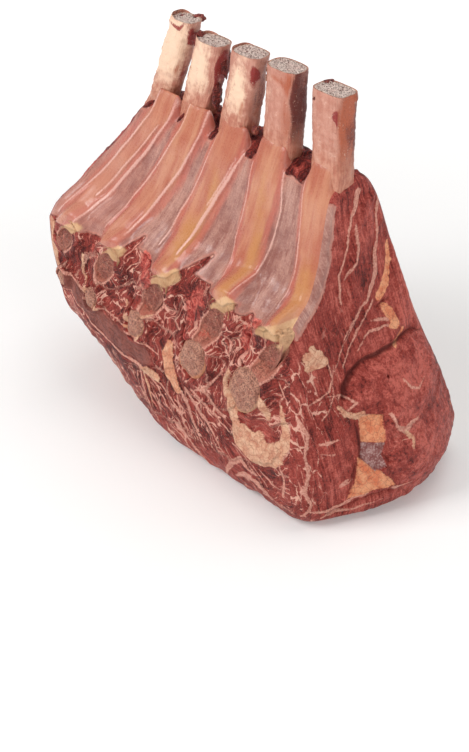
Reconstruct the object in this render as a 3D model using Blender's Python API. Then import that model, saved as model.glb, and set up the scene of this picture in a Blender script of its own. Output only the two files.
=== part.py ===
"""Raw five-rib beef roast, standing on its flat underside with the cleaned rib ends up.

Frame: +X runs along the backbone to the larger cut end, -Y is the hollow inner side with the sawn
backbone face, +Z is up. Lengths are metres.
"""

import math

import bpy
import numpy as np

# Length of the meat along the backbone, between the rims of its two cut ends
FAR_RIM = -0.1410
NEAR_RIM = 0.1107
RIM_RADIUS = 0.0095

# Heights of the cross section
HEAD_TOP = 0.1590
LEDGE_TOP = 0.2400

# Cross section at the near end, as (y, z), up the backbone face, over the top ledge and down outside
NEAR_SECTION = (
    (-0.0485, -0.0010), (-0.0610, 0.0030), (-0.0700, 0.0155),
    (-0.0735, 0.0480), (-0.0700, 0.0900), (-0.0665, 0.1260),
    (-0.0640, 0.1490), (-0.0570, HEAD_TOP),
    (-0.0470, 0.1685), (-0.0390, 0.1860), (-0.0340, 0.2055), (-0.0295, 0.2265),
    (-0.0245, 0.2355), (-0.0115, LEDGE_TOP), (0.0045, 0.2370),
    (0.0165, 0.2195), (0.0290, 0.1850), (0.0420, 0.1430), (0.0555, 0.1010),
    (0.0695, 0.0580), (0.0770, 0.0270), (0.0720, 0.0070), (0.0555, -0.0010),
    (0.0225, -0.0035), (-0.0085, -0.0035), (-0.0345, -0.0025),
)
SECTION_CENTRE = (0.0000, 0.1010)

# How the far end differs: its outer side comes in and its lower backbone corner is rounder
FAR_OUTER_SCALE = 0.88
CHINE_CORNER = (-0.0800, 0.0000)
FAR_CORNER_LIFT = 0.0259
FAR_CORNER_START = 0.0086
CORNER_REACH = 0.0822

# The cut ends: the near one bulges low down, the far one tucks in at the foot
NEAR_BULGE = 0.0476
NEAR_BULGE_CENTRE = (0.0100, 0.0340)
NEAR_BULGE_SPREAD = (0.0761, 0.0865)
FAR_TUCK = 0.0312
FAR_TUCK_HEIGHT = 0.0995
FAR_TOP_TUCK = 0.0104
FAR_TOP_START = 0.1700
FAR_TOP_REACH = 0.0519
END_REACH = 0.0605

# The ribs lean together towards a point high above the near end
FAN_START = 0.1350
FAN_DEPTH = 0.4325
FAN_X = 0.1038

# Ribs, from the near end to the far end
RIB_HEAD_X = (0.0969, 0.0458, -0.0155, -0.0658, -0.1107)
RIB_TOP_X = (0.0934, 0.0527, 0.0199, -0.0147, -0.0406)
RIB_TOP_Z = (0.2965, 0.2985, 0.2975, 0.2945, 0.3020)
RIB_HEAD_DROP = (0.0000, -0.0018, 0.0069, 0.0052, 0.0000)
RIB_WIDTH = (0.0268, 0.0272, 0.0246, 0.0238, 0.0199)
RIB_THICKNESS = (0.0181, 0.0181, 0.0173, 0.0165, 0.0147)
# Rib centre line in (y, z) from the sawn head up to the ledge; above it the bone runs straight to its top
RIB_LINE = (
    (-0.0692, 0.1335), (-0.0514, 0.1440), (-0.0352, 0.1583), (-0.0257, 0.1806),
    (-0.0201, 0.2040), (-0.0157, 0.2273), (-0.0134, 0.2480),
)
RIB_TOP_Y = -0.0126
HEAD_DROP_REACH = 0.40
HEAD_FLARE = 0.45
HEAD_FLARE_REACH = 0.22
RIB_SQUARENESS = 2.6

# Sawn backbone stubs under the rib heads: size along X, Y and Z, and place below and beside the head
STUB_SIZE = (0.0207, 0.0139, 0.0294)
STUB_DROP = 0.0389
STUB_ASIDE = (-0.0190, -0.0190, -0.0170, -0.0160, -0.0100)
STUB_Y = -0.0684
STUB_LEAN = math.radians(24)
STUB_ROUNDING = 0.6

# Clearance between neighbouring solids, and how far a cutter runs on past its bone
GAP = 0.0003
CUTTER_OVERRUN = 0.012

# Resolution
SECTION_STEPS = 3
SIDE_RINGS = 24
RIM_RINGS = 3
CAP_RINGS = 5
RIB_LINE_STEPS = 6
RIB_SIDES = 16
RIB_RINGS = 14
STUB_SIDES = 12
STUB_RINGS = 6
SMOOTH_ANGLE = math.radians(50)

# Moves the design frame so that the whole object's box is centred over the origin
PLACE = np.array((-0.0085, -0.0011, 0.0))

LOOKS = {
    "meat": ((0.33, 0.065, 0.050, 1.0), 0.38),
    "rib_bone": ((0.58, 0.28, 0.19, 1.0), 0.42),
    "chine_bone": ((0.52, 0.24, 0.16, 1.0), 0.50),
}


def smoothstep(value):
    value = np.clip(value, 0.0, 1.0)
    return value * value * (3.0 - 2.0 * value)


def spline(points, steps, closed):
    """Catmull-Rom curve through the points, with the given number of steps per span."""
    points = np.asarray(points, float)
    count = len(points)
    spans = count if closed else count - 1
    at = np.arange(spans * steps + (0 if closed else 1)) / steps
    first = np.minimum(at.astype(int), spans - 1)
    part = (at - first)[:, None]
    if closed:
        before, start, end, after = (points[(first + shift) % count] for shift in (-1, 0, 1, 2))
    else:
        padded = np.vstack((2 * points[0] - points[1], points, 2 * points[-1] - points[-2]))
        before, start, end, after = (padded[first + shift] for shift in (0, 1, 2, 3))
    return 0.5 * (
        2 * start
        + (end - before) * part
        + (2 * before - 5 * start + 4 * end - after) * part**2
        + (3 * start - before - 3 * end + after) * part**3
    )


def section_at(along):
    """Cross section at a place along the backbone, blended from the near end's to the far end's."""
    outline = spline(NEAR_SECTION, SECTION_STEPS, closed=True)
    far = 1.0 - smoothstep((along - FAR_RIM) / (NEAR_RIM - FAR_RIM))
    y, z = outline[:, 0], outline[:, 1]
    y = np.where(y > 0, y * (1.0 - far * (1.0 - FAR_OUTER_SCALE)), y)
    from_corner = np.hypot(y - CHINE_CORNER[0], z - CHINE_CORNER[1])
    rounder = 1.0 - smoothstep((along - FAR_RIM) / (FAR_CORNER_START - FAR_RIM))
    corner = rounder * smoothstep(1.0 - from_corner / CORNER_REACH)
    y = y + FAR_CORNER_LIFT * corner
    z = np.maximum(z + FAR_CORNER_LIFT * corner, 0.0)
    return np.stack((y, z), axis=1)


def lean(along, z):
    """X of a point of the section at a place along the backbone: the ribs converge as they rise."""
    rise = np.maximum(z - FAN_START, 0.0) / FAN_DEPTH
    return along + (FAN_X - along) * rise


def end_shift(along, y, z):
    """How far the cut ends bulge or tuck in at a point of the section."""
    across = (y - NEAR_BULGE_CENTRE[0]) / NEAR_BULGE_SPREAD[0]
    upward = (z - NEAR_BULGE_CENTRE[1]) / NEAR_BULGE_SPREAD[1]
    bulge = NEAR_BULGE * np.exp(-(across**2) - upward**2)
    tuck = FAR_TUCK * np.clip(1.0 - z / FAR_TUCK_HEIGHT, 0.0, 1.0) ** 2
    tuck = tuck + FAR_TOP_TUCK * smoothstep((z - FAR_TOP_START) / FAR_TOP_REACH)
    near = smoothstep((along - NEAR_RIM) / END_REACH + 1.0)
    far = smoothstep((FAR_RIM - along) / END_REACH + 1.0)
    return bulge * near + tuck * far


def ring(along, inset, inward):
    """One loop of the meat: the section set in by a distance, then drawn towards its middle."""
    outline = section_at(along)
    centre = np.array(SECTION_CENTRE)
    spokes = outline - centre
    reach = np.linalg.norm(spokes, axis=1)[:, None]
    points = centre + spokes * (1.0 - inset / reach) * inward
    y, z = points[:, 0], points[:, 1]
    return np.stack((lean(along, z) + end_shift(along, y, z), y, z), axis=1)


def meat_rings():
    """Loops from the middle of the far cut end, along the sides, to the middle of the near cut end."""
    turn = np.linspace(0.0, math.pi / 2, RIM_RINGS + 1)
    drawn = np.linspace(1.0, 0.0, CAP_RINGS + 1)[1:-1]
    rounded = [(RIM_RADIUS * (1 - math.sin(a)), RIM_RADIUS * (1 - math.cos(a))) for a in turn]
    rings = [ring(FAR_RIM, RIM_RADIUS, inward) for inward in drawn[::-1]]
    rings += [ring(FAR_RIM + back, inset, 1.0) for back, inset in rounded[::-1]]
    sides = np.linspace(FAR_RIM + RIM_RADIUS, NEAR_RIM - RIM_RADIUS, SIDE_RINGS + 1)[1:-1]
    rings += [ring(along, 0.0, 1.0) for along in sides]
    rings += [ring(NEAR_RIM - back, inset, 1.0) for back, inset in rounded]
    rings += [ring(NEAR_RIM, RIM_RADIUS, inward) for inward in drawn]
    return rings


def loft(name, rings, looks):
    """Closed mesh object through the rings, each end closed by a fan to its middle."""
    around = len(rings[0])
    points = np.vstack((*rings, rings[0].mean(axis=0), rings[-1].mean(axis=0))) + PLACE
    first_middle = len(rings) * around
    step = np.arange(around)
    onward = (step + 1) % around
    faces = []
    for row in range(len(rings) - 1):
        low, high = row * around, (row + 1) * around
        faces += np.stack((low + step, low + onward, high + onward, high + step), axis=1).tolist()
    last = (len(rings) - 1) * around
    faces += np.stack((onward, step, np.full(around, first_middle)), axis=1).tolist()
    faces += np.stack((last + step, last + onward, np.full(around, first_middle + 1)), axis=1).tolist()
    mesh = bpy.data.meshes.new(name)
    mesh.from_pydata(points.tolist(), [], faces)
    mesh.shade_smooth()
    mesh.set_sharp_from_angle(angle=SMOOTH_ANGLE)
    mesh.materials.append(bpy.data.materials[looks])
    made = bpy.data.objects.new(name, mesh)
    bpy.context.scene.collection.objects.link(made)
    return made


def rib_rings(index, grow=0.0, overrun=0.0):
    """Loops of a rib from its sawn head to its sawn top, its oval section widening into the head."""
    top_z = RIB_TOP_Z[index]
    line = spline(RIB_LINE + ((RIB_TOP_Y, top_z),), RIB_LINE_STEPS, closed=False)
    length = np.concatenate(([0.0], np.cumsum(np.linalg.norm(np.diff(line, axis=0), axis=1))))
    at = np.linspace(0.0, length[-1], RIB_RINGS)
    y, z = (np.interp(at, length, line[:, axis]) for axis in (0, 1))
    rise = at / length[-1]
    x = RIB_HEAD_X[index] + (RIB_TOP_X[index] - RIB_HEAD_X[index]) * rise
    z = z - RIB_HEAD_DROP[index] * (1.0 - smoothstep(rise / HEAD_DROP_REACH))
    path = np.stack((x, y, z), axis=1)
    ahead = np.gradient(path, axis=0)
    ahead /= np.linalg.norm(ahead, axis=1)[:, None]
    wide = np.array((1.0, 0.0, 0.0)) - ahead * ahead[:, :1]
    wide /= np.linalg.norm(wide, axis=1)[:, None]
    deep = np.cross(ahead, wide)
    flare = 1.0 + HEAD_FLARE * (1.0 - smoothstep(rise / HEAD_FLARE_REACH))
    half_wide = 0.5 * RIB_WIDTH[index] * flare + grow
    half_deep = 0.5 * RIB_THICKNESS[index] * flare + grow
    angle = np.arange(RIB_SIDES) * 2 * math.pi / RIB_SIDES
    across = np.sign(np.cos(angle)) * np.abs(np.cos(angle)) ** (2 / RIB_SQUARENESS)
    through = np.sign(np.sin(angle)) * np.abs(np.sin(angle)) ** (2 / RIB_SQUARENESS)
    rings = (
        path[:, None, :]
        + (half_wide[:, None] * across)[..., None] * wide[:, None, :]
        + (half_deep[:, None] * through)[..., None] * deep[:, None, :]
    )
    # The saw cuts stand square: the head on the backbone face, the top level
    rings[0] += ahead[0] * (path[0, 1] - rings[0, :, 1:2]) / ahead[0, 1]
    rings[-1] += ahead[-1] * (path[-1, 2] - rings[-1, :, 2:]) / ahead[-1, 2]
    if not overrun:
        return list(rings)
    return [rings[0] - ahead[0] * overrun, *rings, rings[-1] + ahead[-1] * overrun]


def stub_rings(index, grow=0.0):
    """Loops of a rounded backbone stub, flattened through Y and leaning in the backbone face."""
    half = np.array(STUB_SIZE) / 2 + grow
    turn = np.linspace(0.0, math.pi, STUB_RINGS + 2)[1:-1]
    angle = np.arange(STUB_SIDES) * 2 * math.pi / STUB_SIDES
    lift = half[2] * np.cos(angle)
    side = half[0] * np.sin(angle)
    local_x = side * math.cos(STUB_LEAN) + lift * math.sin(STUB_LEAN)
    local_z = lift * math.cos(STUB_LEAN) - side * math.sin(STUB_LEAN)
    centre_x = RIB_HEAD_X[index] + STUB_ASIDE[index]
    centre_z = RIB_LINE[0][1] - STUB_DROP
    rings = []
    for part in turn:
        width = math.sin(part) ** STUB_ROUNDING
        y = STUB_Y - half[1] * math.cos(part)
        rings.append(
            np.stack((centre_x + width * local_x, np.full(STUB_SIDES, y), centre_z + width * local_z), axis=1)
        )
    return rings


def cut(target, cutter):
    """Takes the cutter's space out of the target with a live Boolean."""
    cutter.hide_render = True
    cutter.display_type = "WIRE"
    modifier = target.modifiers.new(cutter.name, "BOOLEAN")
    modifier.operation = "DIFFERENCE"
    modifier.solver = "EXACT"
    modifier.object = cutter


def make_material(name):
    colour, roughness = LOOKS[name]
    material = bpy.data.materials.new(name)
    material.use_nodes = True
    shader = material.node_tree.nodes["Principled BSDF"]
    shader.inputs["Base Color"].default_value = colour
    shader.inputs["Roughness"].default_value = roughness
    shader.inputs["Metallic"].default_value = 0.0
    material.diffuse_color = colour


def clear_scene():
    for held in list(bpy.data.objects):
        bpy.data.objects.remove(held)


def main():
    clear_scene()
    for name in LOOKS:
        make_material(name)
    meat = loft("meat", meat_rings(), "meat")
    for index in range(len(RIB_HEAD_X)):
        number = index + 1
        loft(f"rib_{number}", rib_rings(index), "rib_bone")
        loft(f"chine_stub_{number}", stub_rings(index), "chine_bone")
        cut(meat, loft(f"rib_channel_{number}", rib_rings(index, GAP, CUTTER_OVERRUN), "rib_bone"))
        cut(meat, loft(f"stub_seat_{number}", stub_rings(index, GAP), "chine_bone"))


main()
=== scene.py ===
# Raw beef rib roast with five ribs, standing on its flat underside.
# The hollow inner side looks along -Y, the larger cut end along +X. Drawn marks are in millimetres.
import bpy
import math
import numpy as np
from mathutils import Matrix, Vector


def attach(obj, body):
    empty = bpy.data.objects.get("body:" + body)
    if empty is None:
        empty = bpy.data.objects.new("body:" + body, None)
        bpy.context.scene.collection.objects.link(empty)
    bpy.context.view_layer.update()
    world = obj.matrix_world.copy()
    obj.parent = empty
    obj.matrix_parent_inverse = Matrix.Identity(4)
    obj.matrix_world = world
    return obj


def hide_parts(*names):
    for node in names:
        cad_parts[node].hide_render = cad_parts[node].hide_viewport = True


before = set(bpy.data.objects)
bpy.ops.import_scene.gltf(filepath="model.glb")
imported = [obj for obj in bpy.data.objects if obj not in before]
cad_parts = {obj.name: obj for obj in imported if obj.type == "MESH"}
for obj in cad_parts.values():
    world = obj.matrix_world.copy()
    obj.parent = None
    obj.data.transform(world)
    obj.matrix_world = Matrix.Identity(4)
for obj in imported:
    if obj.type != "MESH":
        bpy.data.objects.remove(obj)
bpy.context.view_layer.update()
fine = 1.0


# Soft step of a value: 0 up to 0, 1 from 1 on, and 3v^2 - 2v^3 between
def smooth(value):
    value = np.clip(value, 0.0, 1.0)
    return value * value * (3.0 - 2.0 * value)


# From a to b by a part of the way
def mix(a, b, part):
    return a + (b - a) * part


# Catmull-Rom curve: t counts the given points, and a closed one runs on round
def curve(points, t, closed=False):
    points = np.asarray(points, float)
    count = len(points)
    if closed:
        first = np.floor(t).astype(int)
        part = (t - first)[..., None]
        before, start, end, after = (points[(first + k) % count] for k in (-1, 0, 1, 2))
    else:
        padded = np.vstack((2 * points[0] - points[1], points, 2 * points[-1] - points[-2]))
        first = np.clip(np.floor(t).astype(int), 0, count - 2)
        part = (t - first)[..., None]
        before, start, end, after = (padded[first + k] for k in (0, 1, 2, 3))
    return 0.5 * (2 * start + (end - before) * part + (2 * before - 5 * start + 4 * end - after) * part**2
                  + (3 * start - before - 3 * end + after) * part**3)


# Signed reach into a set of drawn strokes, in mm: positive inside. Each stroke is a chain of
# (a, b, half width), and the reach is the half width there less the distance to the chain
def strokes(at, lines):
    best = np.full(at.shape[:-1], -99.0)
    for line in lines:
        chain = np.asarray(line, float)
        for start, end in zip(chain[:-1], chain[1:]):
            leg = end[:2] - start[:2]
            part = np.clip(((at - start[:2]) @ leg) / (leg @ leg), 0.0, 1.0)
            gap = np.hypot(at[..., 0] - start[0] - leg[0] * part, at[..., 1] - start[1] - leg[1] * part)
            best = np.maximum(best, start[2] + (end[2] - start[2]) * part - gap)
    return best


# Signed reach into a closed outline: distance to its nearest edge, negative outside
def outline(at, corners):
    corners = np.asarray(corners, float)
    gap = np.full(at.shape[:-1], 99.0)
    inside = np.zeros(at.shape[:-1], bool)
    for start, end in zip(corners, np.roll(corners, -1, axis=0)):
        leg = end - start
        part = np.clip(((at - start) @ leg) / (leg @ leg), 0.0, 1.0)
        gap = np.minimum(gap, np.hypot(*np.moveaxis(at - start - leg * part[..., None], -1, 0)))
        rise = at[..., 1] - start[1]
        crosses = (start[1] <= at[..., 1]) != (end[1] <= at[..., 1])
        inside ^= crosses & (at[..., 0] < start[0] + leg[0] * rise / (leg[1] if leg[1] else 1.0))
    return np.where(inside, gap, -gap)


# Sum of soft round spots (a, b, reach a, reach b, amount)
def spots(at, marks):
    total = np.zeros(at.shape[:-1])
    for a, b, reachA, reachB, amount in marks:
        total += amount * np.exp(-((at[..., 0] - a) / reachA) ** 2 - ((at[..., 1] - b) / reachB) ** 2)
    return total


# Smooth bumps, mostly from -1 to 1: seeded sine waves through space, summed and divided by the root of
# twice their number. The size is a typical wave's length in mm
def lumps(at, size, seed, waves=9):
    draw = np.random.default_rng(seed)
    turn = draw.normal(size=(waves, 3))
    turn *= (2 * math.pi / size) * draw.uniform(0.6, 1.6, (waves, 1)) / np.linalg.norm(turn, axis=1)[:, None]
    start = draw.uniform(0, 2 * math.pi, waves)
    total = np.zeros(at.shape[:-1])
    for axis, begin in zip(turn, start):
        total += np.sin(at @ axis + begin)
    return total / math.sqrt(waves * 2)


# A socket with arithmetic: every operation adds a node to the same material
class Value:
    def __init__(self, look, socket):
        self.look = look
        self.socket = socket

    def maths(self, kind, *others, clamp=False):
        inputs = {0: self} | {i + 1: other for i, other in enumerate(others)}
        return self.look.node("ShaderNodeMath", {"operation": kind, "use_clamp": clamp}, inputs)

    def __add__(self, other):
        return self.maths("ADD", other)

    def __radd__(self, other):
        return self.maths("ADD", other)

    def __sub__(self, other):
        return self.maths("SUBTRACT", other)

    def __rsub__(self, other):
        return (self * -1.0) + other

    def __mul__(self, other):
        return self.maths("MULTIPLY", other)

    def __rmul__(self, other):
        return self.maths("MULTIPLY", other)

    def __truediv__(self, other):
        return self.maths("DIVIDE", other)

    def high(self, other):
        return self.maths("MAXIMUM", other)

    def size(self):
        return self.maths("ABSOLUTE")

    def clip(self):
        return self.maths("ADD", 0.0, clamp=True)

    # 0 below start, 1 above end, soft between
    def ramp(self, start, end):
        return self.look.node("ShaderNodeMapRange", {"interpolation_type": "SMOOTHSTEP"},
                              {0: self, 1: start, 2: end, 3: 0.0, 4: 1.0})


# A material and its nodes. Any node comes from node(), by its type, settings and inputs
class Look:
    def __init__(self, name):
        self.material = bpy.data.materials.new(name)
        self.material.use_nodes = True
        self.tree = self.material.node_tree
        self.tree.nodes.clear()

    def node(self, kind, settings=None, inputs=None, out=0):
        made = self.tree.nodes.new(kind)
        for key, value in (settings or {}).items():
            setattr(made, key, value)
        for key, value in (inputs or {}).items():
            if isinstance(value, Value):
                self.tree.links.new(value.socket, made.inputs[key])
            else:
                made.inputs[key].default_value = value
        return Value(self, made.outputs[out]) if made.outputs else None

    # Object position in mm
    def place(self):
        spot = self.node("ShaderNodeTexCoord", out="Object")
        return self.node("ShaderNodeVectorMath", {"operation": "SCALE"}, {0: spot, "Scale": 1000.0})

    def field(self, name):
        return self.node("ShaderNodeAttribute", {"attribute_name": name}, out="Fac")

    def vector(self, name):
        return self.node("ShaderNodeAttribute", {"attribute_name": name}, out="Vector")

    def times(self, vector, factors):
        return self.node("ShaderNodeVectorMath", {"operation": "MULTIPLY"}, {0: vector, 1: factors})

    def plus(self, vector, other):
        return self.node("ShaderNodeVectorMath", {"operation": "ADD"}, {0: vector, 1: other})

    def noise(self, vector, scale, detail=3.0, rough=0.55, bend=0.0, out=0):
        return self.node("ShaderNodeTexNoise", None, {"Vector": vector, "Scale": scale, "Detail": detail,
                                                      "Roughness": rough, "Distortion": bend}, out)

    def cells(self, vector, scale, feature="F1", out="Distance"):
        inputs = {"Vector": vector, "Scale": scale}
        return self.node("ShaderNodeTexVoronoi", {"feature": feature}, inputs, out)

    def blend(self, part, a, b):
        return self.node("ShaderNodeMix", {"data_type": "RGBA"}, {0: part, 6: a, 7: b}, 2)

    def bump(self, height, depth, strength=1.0):
        return self.node("ShaderNodeBump", None, {"Height": height, "Distance": depth, "Strength": strength})

    def finish(self, colour, roughness, normal=None, coat=0.0, specular=0.4, glow=0.0,
               glowColour=(1.0, 1.0, 1.0, 1.0)):
        inputs = {"Base Color": colour, "Roughness": roughness, "Coat Weight": coat, "Coat Roughness": 0.18,
                  "Specular IOR Level": specular, "Emission Color": glowColour, "Emission Strength": glow}
        if normal:
            inputs["Normal"] = normal
        shader = self.node("ShaderNodeBsdfPrincipled", None, inputs, "BSDF")
        self.node("ShaderNodeOutputMaterial", None, {"Surface": shader})
        return self.material


# Display colours of 0 to 255 by name, as the linear colours that sockets take
def tints(shades):
    shown = {name: np.array(shade) / 255.0 for name, shade in shades.items()}
    linear = {name: np.where(part <= 0.04045, part / 12.92, ((part + 0.055) / 1.055) ** 2.4)
              for name, part in shown.items()}
    return {name: (*part.tolist(), 1.0) for name, part in linear.items()}


# A mesh in the scene from points, faces and its fields, one value or vector to a point. It rides the
# root and takes the place of the nodes that rides names; the slot that rides also names is not used
def makePiece(name, points, faces, material, fields, rides):
    mesh = bpy.data.meshes.new(name)
    mesh.from_pydata(points.tolist(), [], faces)
    mesh.shade_smooth()
    mesh.set_sharp_from_angle(angle=math.radians(72))
    for key, value in fields.items():
        kind = "FLOAT_VECTOR" if value.ndim == 2 else "FLOAT"
        held = mesh.attributes.new(key, kind, "POINT")
        held.data.foreach_set("vector" if value.ndim == 2 else "value", value.astype(np.float32).ravel())
    mesh.materials.append(material)
    piece = bpy.data.objects.new(name, mesh)
    bpy.context.scene.collection.objects.link(piece)
    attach(piece, "root")
    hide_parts(*rides["nodes"])
    print(name, len(points), "points,", len(faces), "faces")
    return piece


# Faces of a grid of rows and columns; wrapped ones close round the columns
def gridFaces(rows, columns, wrapped):
    across = columns if wrapped else columns - 1
    row, column = np.meshgrid(np.arange(rows - 1), np.arange(across), indexing="ij")
    onward = (column + 1) % columns
    low, high = row * columns, (row + 1) * columns
    corners = (low + column, low + onward, high + onward, high + column)
    return np.stack(corners, axis=-1).reshape(-1, 4).tolist()


# Triangles from a directed border to one point, against the border's direction or ahead along it
def fan(border, hub, ahead=False):
    onward = np.roll(border, -1)
    pair = (border, onward) if ahead else (onward, border)
    return np.stack((*pair, np.full(len(border), hub)), axis=1).tolist()


# Faces of closed loops whose two ends are fans to a point each, numbered next after the grid's points
def shellFaces(rows, columns):
    count = rows * columns
    ends = fan(np.arange(columns), count) + fan(np.arange(count - columns, count), count + 1, True)
    return gridFaces(rows, columns, True) + ends


# The grid's points in one list, with the middles of its first and last loop after them
def withPoles(grid):
    return np.vstack((grid.reshape(-1, 3), grid[0].mean(axis=0), grid[-1].mean(axis=0)))


# Angles of a ball's loops: from pole to pole with the poles left out, and once round
def ballAngles(rows, columns):
    part = np.linspace(0, math.pi, rows + 2)[1:-1]
    return np.meshgrid(part, np.arange(columns) * 2 * math.pi / columns, indexing="ij")


# The body in metres. The section is a closed outline of (y, z) that starts at the foot of the inner side
body = {
    "farRim": -0.1410, "nearRim": 0.1107, "rimRadius": 0.0095,
    "section": (
        (-0.0485, -0.0010), (-0.0610, 0.0030), (-0.0700, 0.0155), (-0.0735, 0.0480), (-0.0700, 0.0900),
        (-0.0665, 0.1260), (-0.0640, 0.1490), (-0.0570, 0.1590), (-0.0470, 0.1685), (-0.0390, 0.1860),
        (-0.0340, 0.2055), (-0.0295, 0.2265), (-0.0245, 0.2355), (-0.0115, 0.2400), (0.0045, 0.2370),
        (0.0165, 0.2195), (0.0290, 0.1850), (0.0420, 0.1430), (0.0555, 0.1010), (0.0695, 0.0580),
        (0.0770, 0.0270), (0.0720, 0.0070), (0.0555, -0.0010), (0.0225, -0.0035), (-0.0085, -0.0035),
        (-0.0345, -0.0025)),
    "centre": (0.0000, 0.1010),
    "farScale": 0.88, "corner": (-0.0800, 0.0000), "cornerLift": 0.0259, "cornerStart": 0.0086,
    "cornerReach": 0.0822,
    "bulge": 0.0476, "bulgeCentre": (0.0100, 0.0340), "bulgeSpread": (0.0761, 0.0865),
    "tuck": 0.0312, "tuckHeight": 0.0995, "topTuck": 0.0104, "topStart": 0.1700, "topReach": 0.0519,
    "endReach": 0.0605, "fanStart": 0.1350, "fanDepth": 0.4325, "fanX": 0.1038,
    "place": (-0.0085, -0.0011, 0.0),
}
ribs = {
    "headX": (0.0969, 0.0458, -0.0155, -0.0658, -0.1107),
    "topX": (0.0934, 0.0527, 0.0199, -0.0147, -0.0406),
    "topZ": (0.2965, 0.2985, 0.2975, 0.2945, 0.3020),
    "drop": (0.0000, -0.0018, 0.0069, 0.0052, 0.0000),
    "width": (0.0268, 0.0272, 0.0246, 0.0238, 0.0199),
    "thick": (0.0181, 0.0181, 0.0173, 0.0165, 0.0147),
    "line": ((-0.0692, 0.1335), (-0.0514, 0.1440), (-0.0352, 0.1583), (-0.0257, 0.1806),
             (-0.0201, 0.2040), (-0.0157, 0.2273), (-0.0134, 0.2480)),
    "topY": -0.0126, "dropReach": 0.40, "flare": 0.50, "flareReach": 0.22, "headDepth": 0.70,
    "slant": 60, "slantReach": 0.24, "headPower": 2.2, "square": (4.0, 3.0, 3.2, 3.0, 3.0),
}

stubs = {
    "size": (0.0207, 0.0139, 0.0294), "scale": (1.50, 1.30, 0.95, 0.75, 0.60),
    "headZ": 0.1335, "drop": 0.0389, "aside": (-0.0190, -0.0190, -0.0170, -0.0160, -0.0100), "y": -0.0684,
    "lean": math.radians(24), "rounding": 0.6, "warm": (0.1, 0.9, 0.4, 0.2, 0.2),
}


# The section's curve in fine steps, and the length in metres that each step has reached
sectionSteps = np.linspace(0, len(body["section"]), 1301)
sectionLine = curve(body["section"], sectionSteps, closed=True)
sectionLength = np.concatenate(([0.0], np.cumsum(np.linalg.norm(np.diff(sectionLine, axis=0), axis=1))))


# Step along the section's curve at a length round it, and the length at a step
def stepAt(length):
    return np.interp(length, sectionLength, sectionSteps)


def lengthAt(step):
    return np.interp(step, sectionSteps, sectionLength)


# Point of the body: t counts the section's points; u runs 0-1 over the far cut, 1-2 round its rim,
# 2-3 along the side, 3-4 round the near rim and 4-5 over the near cut to its middle.
# The section is set in round the rims by a quarter circle and drawn to its middle over the cuts;
# its X leans with height and takes the bulge or tuck of the ends.
def bodyPoint(t, u):
    far = np.clip(2 - u, 0, 1) * math.pi / 2
    near = np.clip(u - 3, 0, 1) * math.pi / 2
    radius = body["rimRadius"]
    span = body["nearRim"] - body["farRim"] - 2 * radius
    along = body["farRim"] + radius + span * np.clip(u - 2, 0, 1)
    along = along - radius * np.sin(far) + radius * np.sin(near)
    inset = radius * (2 - np.cos(far) - np.cos(near))
    inward = (1 - np.clip(1 - u, 0, 1)) * (1 - np.clip(u - 4, 0, 1))
    y, z = np.moveaxis(curve(body["section"], t, closed=True), -1, 0)
    back = 1 - smooth((along - body["farRim"]) / (body["nearRim"] - body["farRim"]))
    y = np.where(y > 0, y * (1 - back * (1 - body["farScale"])), y)
    rounder = 1 - smooth((along - body["farRim"]) / (body["cornerStart"] - body["farRim"]))
    cornerGap = np.hypot(y - body["corner"][0], z - body["corner"][1])
    corner = rounder * smooth(1 - cornerGap / body["cornerReach"])
    y = y + body["cornerLift"] * corner
    z = np.maximum(z + body["cornerLift"] * corner, 0)
    middleY, middleZ = body["centre"]
    reach = np.hypot(y - middleY, z - middleZ)
    drawn = (1 - inset / reach) * inward
    y = middleY + (y - middleY) * drawn
    z = middleZ + (z - middleZ) * drawn
    x = along + (body["fanX"] - along) * np.maximum(z - body["fanStart"], 0) / body["fanDepth"]
    bulge = body["bulge"] * np.exp(-(((y - body["bulgeCentre"][0]) / body["bulgeSpread"][0]) ** 2)
                                   - ((z - body["bulgeCentre"][1]) / body["bulgeSpread"][1]) ** 2)
    tuck = body["tuck"] * np.clip(1 - z / body["tuckHeight"], 0, 1) ** 2
    tuck = tuck + body["topTuck"] * smooth((z - body["topStart"]) / body["topReach"])
    x = x + bulge * smooth((along - body["nearRim"]) / body["endReach"] + 1)
    x = x + tuck * smooth((body["farRim"] - along) / body["endReach"] + 1)
    return np.stack((x, y, z), axis=-1) + np.array(body["place"])


# Outward normal of the body: the cross of a small step onward and a small step round
def bodyNormal(t, u):
    around = bodyPoint(t + 0.02, u) - bodyPoint(t - 0.02, u)
    onward = bodyPoint(t, np.clip(u + 0.004, 0, 4.98)) - bodyPoint(t, np.clip(u - 0.004, 0.02, 5))
    out = np.cross(onward, around)
    return out / np.maximum(np.linalg.norm(out, axis=-1, keepdims=True), 1e-12)


# Soft pushes of the body where it sags: middle, reach and push in mm
settling = (((112, 78, 42), 42, (-1.0, 3.0, 0.0)), ((100, 64, 0), 44, (4.0, 6.0, 0.0)),
            ((-150, -60, 72), 34, (8.0, 8.0, 0.0)), ((60, 76, 120), 40, (0.0, 3.0, 0.0)))


# Points moved by every push times exp(-(distance / reach)^2)
def settle(points):
    moved = points.copy()
    for middle, reach, push in settling:
        gap = np.linalg.norm(points - np.array(middle) / 1000, axis=-1, keepdims=True) * 1000
        moved += np.exp(-((gap / reach) ** 2)) * np.array(push) / 1000
    return moved


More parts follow.
